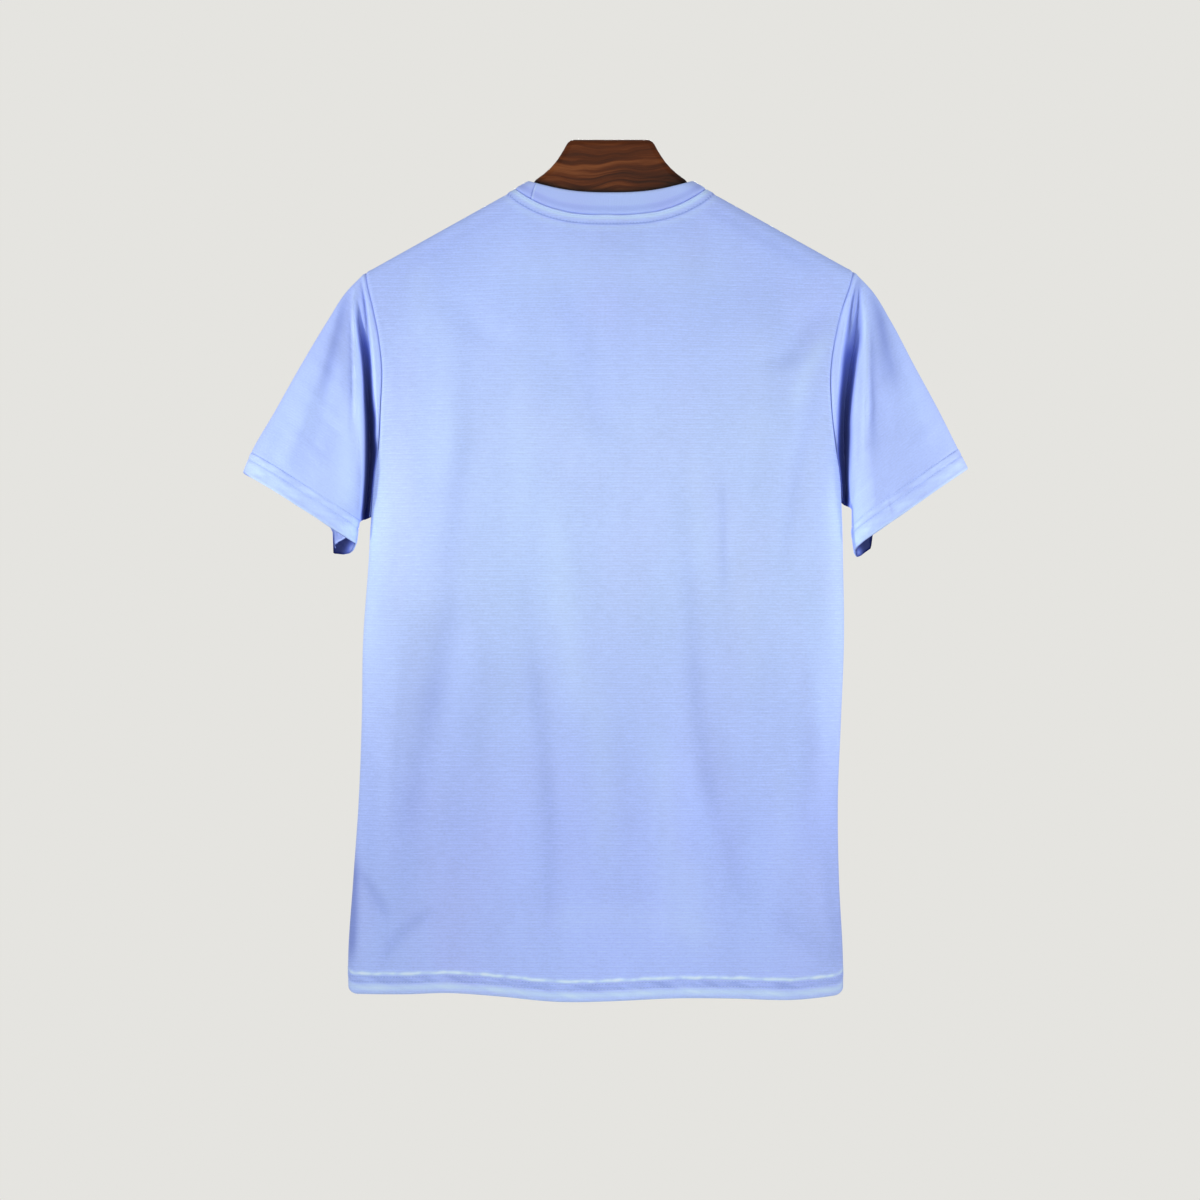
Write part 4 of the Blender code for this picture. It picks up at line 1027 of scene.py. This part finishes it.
# Places (x, z) down one side of the hump, and along the board's lower edge towards its middle.
HUMP_SIDE = (
    (32.5, 0), (35.6, -0.5), (37.8, -1.9), (39.6, -4.2), (42.2, -9), (45.5, -14.4), (49.2, -19.8),
    (54, -25.3), (60, -30.7), (67.2, -36), (71, -40.6), (76.5, -44.8),
)
HANGER_BASE = ((45.0, -57.5), (30.0, -61.5), (12.0, -65.4))


def board_outline():
    """The board's outline all round, from the middle of its top."""
    arm_x = np.linspace(HANGER_ARM_START, HANGER_ARM_END - 12.0, 9)
    dip = HANGER_NECK_DIP * (1 - ease((arm_x - arm_x[0]) / 40))
    top = zip(arm_x, shoulder_line(arm_x) - HANGER_CLEARANCE - dip)
    radius = HANGER_END_RADIUS
    end_x = HANGER_ARM_END - radius
    end_z = shoulder_line(HANGER_ARM_END) - HANGER_CLEARANCE - radius + HANGER_END_RAISE
    lean = math.atan(SHOULDER_SLOPE)
    turns = np.linspace(math.radians(62) - lean * 0.5, -math.pi / 2 - lean, 16)
    end = [(end_x + radius * math.cos(a), end_z + radius * math.sin(a)) for a in turns]
    under_x = np.linspace(*HANGER_UNDERSIDE, 7)
    taper = (under_x - HANGER_UNDERSIDE[1]) * HANGER_ARM_TAPER
    under_z = shoulder_line(under_x) - HANGER_CLEARANCE - HANGER_ARM_HEIGHT + taper
    side = [*HUMP_SIDE, *top, *end, *zip(under_x, under_z), *HANGER_BASE]
    return [(0.0, 0.0)] + side + [(0.0, HANGER_BASE_Z)] + [(-x, z) for x, z in reversed(side)]


def hanger_board(material):
    """A board cut to its outline, with softly rounded edges."""
    outline = board_outline()
    half = HANGER_THICKNESS / 2 * MM
    bpy.ops.object.select_all(action="DESELECT")
    bpy.ops.mesh.primitive_circle_add(vertices=len(outline), radius=0.1, fill_type="NGON")
    piece = bpy.context.active_object
    piece.name = "hanger_board"
    piece.data.name = "hanger_board"
    for vertex, (x, z) in zip(piece.data.vertices, outline):
        vertex.co = (x * MM, -half, z * MM)
    bpy.ops.object.mode_set(mode="EDIT")
    bpy.ops.mesh.select_all(action="SELECT")
    bpy.ops.mesh.extrude_region_move(TRANSFORM_OT_translate={"value": (0, 2 * half, 0)})
    bpy.ops.object.mode_set(mode="OBJECT")
    face_outward(piece)
    for edge in piece.data.edges:
        ends = [piece.data.vertices[v].co.y for v in edge.vertices]
        edge.select = abs(ends[0] - ends[1]) < 1e-6 and abs(abs(ends[0]) - half) < 1e-6
    for face in piece.data.polygons:
        face.select = False
    bpy.context.tool_settings.mesh_select_mode = (False, True, False)
    bpy.ops.object.mode_set(mode="EDIT")
    bpy.ops.mesh.bevel(offset=HANGER_EDGE * MM, segments=6, profile=0.5, affect="EDGES")
    bpy.ops.object.mode_set(mode="OBJECT")
    face_outward(piece)
    bpy.ops.object.shade_smooth_by_angle(angle=math.radians(40))
    piece.data.materials.append(material)
    return piece


# ---------------- finishes

BACKGROUND = (0.783, 0.776, 0.745, 1.0)
KNIT_BASE = (0.432, 0.542, 0.985, 1.0)
KNIT_LILAC = (0.438, 0.537, 0.975, 1.0)
KNIT_CYAN = (0.429, 0.55, 0.985, 1.0)
KNIT_LINES = (0.0044, 0.0022)  # from one horizontal line to the next, the wide and the close ones, m
RIB_BASE = (0.41, 0.53, 0.96, 1.0)
RIB_PITCH = 0.0016  # m
THREAD = (0.45, 0.6, 0.95, 1.0)
SHEEN_TINT = (0.5, 0.65, 1.0, 1.0)
WALNUT = ((0.016, 0.006, 0.004, 1.0), (0.096, 0.023, 0.006, 1.0), (0.22, 0.068, 0.02, 1.0))
WALNUT_PORES = (0.02, 0.008, 0.005, 1.0)
WALNUT_SHADOW_IN_COLLAR = (0.004, 0.002, 0.002, 1.0)
# Painted highlights and painted shade on the cloth: from which amount to which, and how much of the colour
# it gets.
PaintedLightAndShade = namedtuple("PaintedLightAndShade", "attribute start full share colour")
PAINTED_LIGHT_AND_SHADE = table(
    PaintedLightAndShade,
    ("painted_lightness", 0.0, 1.6, 0.88, (0.64, 0.82, 1.0, 1.0)),  # painted highlight on crests of folds
    ("painted_lightness", 1.1, 2.6, 0.7, (0.8, 0.87, 1.0, 1.0)),  # painted highlight on the ridge above the hem
    ("painted_lightness", 0.0, -1.0, 0.6, (0.13, 0.18, 0.55, 1.0)),  # painted shade in stitched grooves
    ("shade", 0.0, 0.5, 1.0, (0.085, 0.125, 0.45, 1.0)),  # folds in shade
    ("shade", 0.5, 1.0, 1.0, (0.001, 0.004, 0.075, 1.0)),  # the deepest of them
)


class Finish:
    """A material, with its nodes added and linked by short calls."""

    def __init__(self, name):
        self.material = bpy.data.materials.new(name)
        self.material.use_nodes = True
        self.tree = self.material.node_tree
        self.shader = self.tree.nodes["Principled BSDF"]
        self.place = self.add("TexCoord").outputs["Object"]

    def add(self, kind, inputs=None, **settings):
        node = self.tree.nodes.new("ShaderNode" + kind)
        for key, value in settings.items():
            setattr(node, key, value)
        for key, value in (inputs or {}).items():
            self.feed(node.inputs[key], value)
        return node

    def feed(self, socket, value):
        if isinstance(value, bpy.types.NodeSocket):
            self.tree.links.new(value, socket)
        else:
            socket.default_value = value

    def math(self, operation, *values):
        return self.add("Math", dict(enumerate(values)), operation=operation).outputs[0]

    def times(self, a, b):
        return self.math("MULTIPLY", a, b)

    def times_plus(self, a, b, c):
        return self.math("MULTIPLY_ADD", a, b, c)

    def waves(self, value, length):
        return self.math("SINE", self.times(value, 2 * math.pi / length))

    def noise(self, vector, scale, detail=2.0, roughness=0.5, distortion=0.0):
        """Noise on a scale for each axis, or on one for all."""
        if isinstance(scale, tuple):
            vector, scale = self.add("Mapping", {"Vector": vector, "Scale": scale}).outputs[0], 1.0
        inputs = {"Vector": vector, "Scale": scale, "Detail": detail}
        inputs.update({"Roughness": roughness, "Distortion": distortion})
        return self.add("TexNoise", inputs).outputs["Fac"]

    def mixed(self, share, a, b, blend_type="MIX"):
        inputs = {"Factor": share, 6: a, 7: b}
        return self.add("Mix", inputs, data_type="RGBA", blend_type=blend_type).outputs[2]

    def spread(self, value, low, high, to_low=0.0, to_high=1.0):
        inputs = {"Value": value, "From Min": low, "From Max": high, "To Min": to_low, "To Max": to_high}
        return self.add("MapRange", inputs, clamp=True).outputs[0]

    def split(self, vector):
        return self.add("SeparateXYZ", {0: vector}).outputs

    def joined(self, x, y, z):
        return self.add("CombineXYZ", {0: x, 1: y, 2: z}).outputs[0]

    def bump(self, height, strength, distance):
        return self.add("Bump", {"Height": height, "Strength": strength, "Distance": distance}).outputs[0]

    def surface(self, **sockets):
        for key, value in sockets.items():
            self.feed(self.shader.inputs[key.replace("_", " ")], value)

    def cloth_surface(self, colour, lightness, loops, **sockets):
        """Cloth of a colour, with painted highlights on its crests, painted shade in its grooves and folds,
        and a sheen.
        """
        colour = self.mixed(1.0, colour, self.joined(lightness, lightness, lightness), "MULTIPLY")
        for painting in PAINTED_LIGHT_AND_SHADE:
            amount = self.add("Attribute", attribute_name=painting.attribute).outputs["Fac"]
            share = self.spread(amount, painting.start, painting.full, 0.0, painting.share)
            colour = self.mixed(share, colour, painting.colour)
        self.surface(
            Base_Color=colour,
            Roughness=self.spread(loops, 0.3, 0.7, 0.5, 0.6),
            Specular_Tint=SHEEN_TINT,
            Sheen_Roughness=0.5,
            Sheen_Tint=SHEEN_TINT,
            **sockets,
        )


def knit_finish(name, line_share, relief, chest_blue):
    """Fine knit: short horizontal lines of loops, soft cloudy tints and a satin sheen."""
    finish = Finish(name)
    place = finish.place
    uv = finish.add("UVMap", uv_map="cloth").outputs[0]
    v = finish.times_plus(finish.noise(uv, (14.0, 30.0, 1.0)), 0.0012, finish.split(uv)[1])
    wide, close = [finish.waves(v, length) for length in KNIT_LINES]
    dashes = finish.spread(finish.noise(uv, (95.0, 560.0, 1.0), 3.0, 0.7), 0.34, 0.66, -1.0, 1.0)
    lines = finish.times_plus(close, 0.55, finish.times(wide, 0.35))
    lines = finish.times(lines, finish.times_plus(dashes, 0.45, 0.55))
    lines = finish.times_plus(dashes, 0.5, lines)
    loops = finish.noise(uv, (430.0, 640.0, 1.0), 2.0, 0.6)

    cloud = finish.spread(finish.noise(place, (7.0, 7.0, 4.0), 3.0, 0.55), 0.38, 0.62)
    warm = finish.spread(finish.noise(place, (11.0, 11.0, 5.0), 2.0, 0.5, 0.6), 0.5, 0.72)
    colour = finish.mixed(warm, finish.mixed(cloud, KNIT_BASE, KNIT_CYAN), KNIT_LILAC)
    # The chest, where the light is brightest, is painted a little less blue.
    level = finish.split(place)[2]
    chest = finish.times(finish.spread(level, -0.62, -0.42), finish.spread(level, -0.26, -0.1, 1.0, 0.12))
    colour = finish.mixed(chest, colour, (1.0, 1.0, chest_blue, 1.0), "MULTIPLY")
    streak = finish.times_plus(lines, line_share, 1.0)
    grain = finish.times_plus(loops, 0.24, 0.88)
    mottle = finish.times_plus(finish.noise(place, (24.0, 24.0, 12.0), 3.0, 0.6), 0.15, 0.925)
    lightness = finish.times(finish.times(streak, grain), mottle)
    height = finish.times_plus(lines, 0.5, finish.times(loops, 0.7))
    normal = finish.bump(height, relief, 0.0004)
    finish.cloth_surface(colour, lightness, loops, Normal=normal, Specular_IOR_Level=0.2, Sheen_Weight=0.07)
    return finish.material


def rib_finish(name):
    """The collar's rib: smoother, with faint fine ribs square to its edge."""
    finish = Finish(name)
    uv = finish.add("UVMap", uv_map="cloth").outputs[0]
    ribs = finish.waves(finish.split(uv)[0], RIB_PITCH)
    cloud = finish.spread(finish.noise(finish.place, 14.0), 0.4, 0.65)
    lilac = (RIB_BASE[0] * 0.97, RIB_BASE[1] * 0.9, RIB_BASE[2] * 0.98, 1.0)
    colour = finish.mixed(cloud, RIB_BASE, lilac)
    grain = finish.noise(uv, (800.0, 800.0, 1.0), 1.0)
    lightness = finish.times_plus(ribs, 0.012, finish.times_plus(grain, 0.08, 0.96))
    normal = finish.bump(finish.times_plus(ribs, 0.5, grain), 0.25, 0.0003)
    finish.cloth_surface(colour, lightness, grain, Normal=normal, Specular_IOR_Level=0.25, Sheen_Weight=0.1)
    return finish.material


def thread_finish(name):
    finish = Finish(name)
    twist = finish.noise(finish.place, (1500.0, 1500.0, 1500.0), 1.0)
    pale = (THREAD[0] * 1.12, THREAD[1] * 1.1, THREAD[2] * 1.02, 1.0)
    finish.surface(
        Base_Color=finish.mixed(twist, THREAD, pale),
        Normal=finish.bump(twist, 0.3, 0.0001),
        Roughness=finish.spread(twist, 0.3, 0.7, 0.4, 0.5),
        Specular_IOR_Level=0.4,
        Sheen_Weight=0.2,
    )
    return finish.material


def walnut_finish(name):
    """Dark walnut along the board: wavy streaks, fine pores and a satin lacquer, with a painted shadow
    inside the collar.
    """
    finish = Finish(name)
    x, y, z = finish.split(finish.place)
    wave = finish.noise(finish.place, (13.0, 4.0, 16.0))
    bent = finish.joined(x, y, finish.times_plus(wave, 0.035, z))
    streak = finish.noise(bent, (7.0, 12.0, 190.0), 4.0, 0.62)
    broad = finish.noise(bent, (4.0, 8.0, 62.0))
    pores = finish.noise(bent, (60.0, 200.0, 1500.0), 2.0, 0.6)
    hair = finish.noise(bent, (11.0, 30.0, 520.0), 3.0, 0.7, 0.6)
    tone = finish.times_plus(streak, 0.48, finish.times(broad, 0.34))
    tone = finish.times_plus(hair, 0.18, tone)
    ramp = finish.add("ValToRGB", {"Fac": finish.spread(tone, 0.39, 0.62)})
    ramp.color_ramp.elements.new(0.5)
    for stop, colour in zip(ramp.color_ramp.elements, WALNUT):
        stop.color = colour
    dark_pores = finish.times(finish.spread(pores, 0.58, 0.72), 0.45)
    colour = finish.mixed(dark_pores, ramp.outputs[0], WALNUT_PORES)
    # A painted shadow on the board just above the collar's rim and below it.
    rim = NECK_RIM["back"]
    across = finish.math("DIVIDE", finish.math("ABSOLUTE", x), rim.half_width * MM)
    rise = finish.times(finish.math("POWER", across, rim.power), rim.drop * MM)
    rim_middle = (shoulder_line(rim.half_width) - rim.drop) * MM
    above_rim = finish.math("SUBTRACT", finish.math("SUBTRACT", z, rim_middle), rise)
    shadow_in_collar = finish.spread(above_rim, 0.001, 0.0065, 0.95, 0.0)
    finish.surface(
        Base_Color=finish.mixed(shadow_in_collar, colour, WALNUT_SHADOW_IN_COLLAR),
        Normal=finish.bump(pores, 0.15, 0.0002),
        Roughness=finish.spread(tone, 0.3, 0.7, 0.4, 0.5),
        Specular_IOR_Level=0.14,
        Specular_Tint=(1.0, 0.75, 0.6, 1.0),
        Coat_Weight=0.05,
        Coat_Roughness=0.2,
    )
    return finish.material


def floor_finish(name):
    finish = Finish(name)
    darker = (*(c * 0.97 for c in BACKGROUND[:3]), 1.0)
    cloud = finish.noise(finish.place, 3.0)
    finish.surface(Base_Color=finish.mixed(cloud, BACKGROUND, darker), Roughness=0.8)
    return finish.material


# ---------------- studio, m

CAMERA_AWAY = 9.0
SEEN_WIDTH = 1.0824
CAMERA_PLACE = (-0.0095, -CAMERA_AWAY, -0.4149)
SENSOR_WIDTH = 36.0
FLOOR_Z = -1.25
Light = namedtuple("Light", "name place aim size spread power shadow")
LIGHTS = table(
    Light,
    ("key_left", (-5.2, -3.0, -0.25), (0.0, -0.35), 1.0, 40, 5.4, True),
    ("key_on_the_shoulders", (-2.2, -1.27, -0.3), (0.05, -0.3), 0.25, 13, 0.126, True),
    ("fill_right", (5.2, -3.0, -0.25), (0.0, -0.35), 1.0, 40, 4.0, True),
    ("front", (0.0, -5.0, -0.3), (0.0, -0.35), 1.0, 40, 2.3, True),
    ("front_middle", (0.0, -2.5, -0.3), (0.02, -0.32), 0.25, 14, 0.0244, True),
    ("front_low", (0.2, -2.5, -0.6), (0.04, -0.8), 0.25, 12, 0.024, True),
    ("edge_left", (-2.4, -0.2, -0.3), (-0.1, -0.32), 0.3, 22, 0.25, False),
    ("edge_right", (2.4, -0.25, -0.35), (0.1, -0.38), 0.3, 22, 0.45, False),
    ("behind", (0.0, 5.0, 0.5), (0.0, -0.35), 1.2, 40, 5.6, True),
)
ROOM_COLOUR = (0.95, 0.97, 1.0, 1.0)
LIT_BY_ROOM = 0.426


def set_the_lamps(scene):
    for light in LIGHTS:
        data = bpy.data.lights.new(light.name, "AREA")
        data.shape = "DISK"
        data.size = light.size
        data.spread = math.radians(light.spread)
        data.energy = light.power
        data.use_shadow = light.shadow
        lamp = bpy.data.objects.new(light.name, data)
        scene.collection.objects.link(lamp)
        lamp.location = light.place
        aim = Vector((light.aim[0], 0.0, light.aim[1])) - Vector(light.place)
        lamp.rotation_euler = aim.to_track_quat("-Z", "Y").to_euler()


def set_the_room(scene):
    """A plain backdrop for the camera, and a pale room for the light."""
    world = bpy.data.worlds.new("pale_room")
    scene.world = world
    world.use_nodes = True
    nodes, links = world.node_tree.nodes, world.node_tree.links
    seen = nodes["Background"]
    seen.inputs["Color"].default_value = BACKGROUND
    lit = nodes.new("ShaderNodeBackground")
    lit.inputs["Color"].default_value = ROOM_COLOUR
    lit.inputs["Strength"].default_value = LIT_BY_ROOM
    rays = nodes.new("ShaderNodeLightPath")
    chosen = nodes.new("ShaderNodeMixShader")
    links.new(rays.outputs["Is Camera Ray"], chosen.inputs[0])
    links.new(lit.outputs[0], chosen.inputs[1])
    links.new(seen.outputs[0], chosen.inputs[2])
    links.new(chosen.outputs[0], nodes["World Output"].inputs["Surface"])


def set_the_studio():
    scene = bpy.context.scene
    scene.view_settings.view_transform = "Standard"
    camera = bpy.data.objects.new("camera", bpy.data.cameras.new("camera"))
    scene.collection.objects.link(camera)
    camera.location = CAMERA_PLACE
    camera.rotation_euler = (math.pi / 2, 0.0, 0.0)
    camera.data.sensor_width = SENSOR_WIDTH
    camera.data.lens = SENSOR_WIDTH * CAMERA_AWAY / SEEN_WIDTH
    scene.camera = camera
    set_the_lamps(scene)
    set_the_room(scene)
    bpy.ops.object.select_all(action="DESELECT")
    bpy.ops.mesh.primitive_circle_add(vertices=96, radius=1.3, fill_type="NGON", location=(0, 0, FLOOR_Z))
    floor = bpy.context.active_object
    floor.name = "floor"
    floor.data.materials.append(floor_finish("pale_floor"))


# ---------------- the jersey put together, m

PANEL_STEPS = {"back": 3.2, "front": 4.2}
# Of each knit: strength of its lines, relief, and how much blue its chest keeps, painted paler there as in
# the brightest light.
KNITS = {"back": (0.1, 0.35, 0.86), "front": (0.1, 0.35, 0.98), "sleeve": (0.035, 0.16, 0.95)}


def dressed(piece, slot, *nodes):
    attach(piece, "root")
    if nodes:
        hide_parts(*nodes)
    return piece


def main():
    knits = {of: knit_finish(of + "_knit", *numbers) for of, numbers in KNITS.items()}
    rib = rib_finish("collar_knit")
    thread = thread_finish("pale_blue_thread")
    walnut = walnut_finish("walnut")

    panels, hem_rows, sleeves, hems, necks = {}, {}, {}, {}, {}
    for face in FACES:
        cloth, hem_rows[face] = panel(face, PANEL_STEPS[face], knits[face])
        panels[face] = dressed(cloth, "jersey_cloth", face + "_panel")
    for side in SIDES:
        cloth, rows = sleeve(side, knits["sleeve"])
        dressed(cloth, "jersey_cloth", "sleeve_" + side)
        stitches = stitching("cuff_stitching_" + side, rows, True, thread)
        sleeves[side] = (cloth, dressed(stitches, "jersey_cloth"))
    ring = dressed(collar(rib), "rib_knit", "collar")
    board = dressed(hanger_board(walnut), "wood", "hanger")
    for face in FACES:
        stitches = stitching("hem_stitching_" + face, hem_rows[face], False, thread)
        hems[face] = dressed(stitches, "jersey_cloth")
    for face in FACES:
        rows = [neck_row(face, distance) for distance in NECK_ROWS]
        necks[face] = dressed(stitching("neck_stitching_" + face, rows, False, thread), "jersey_cloth")

    set_the_studio()


main()
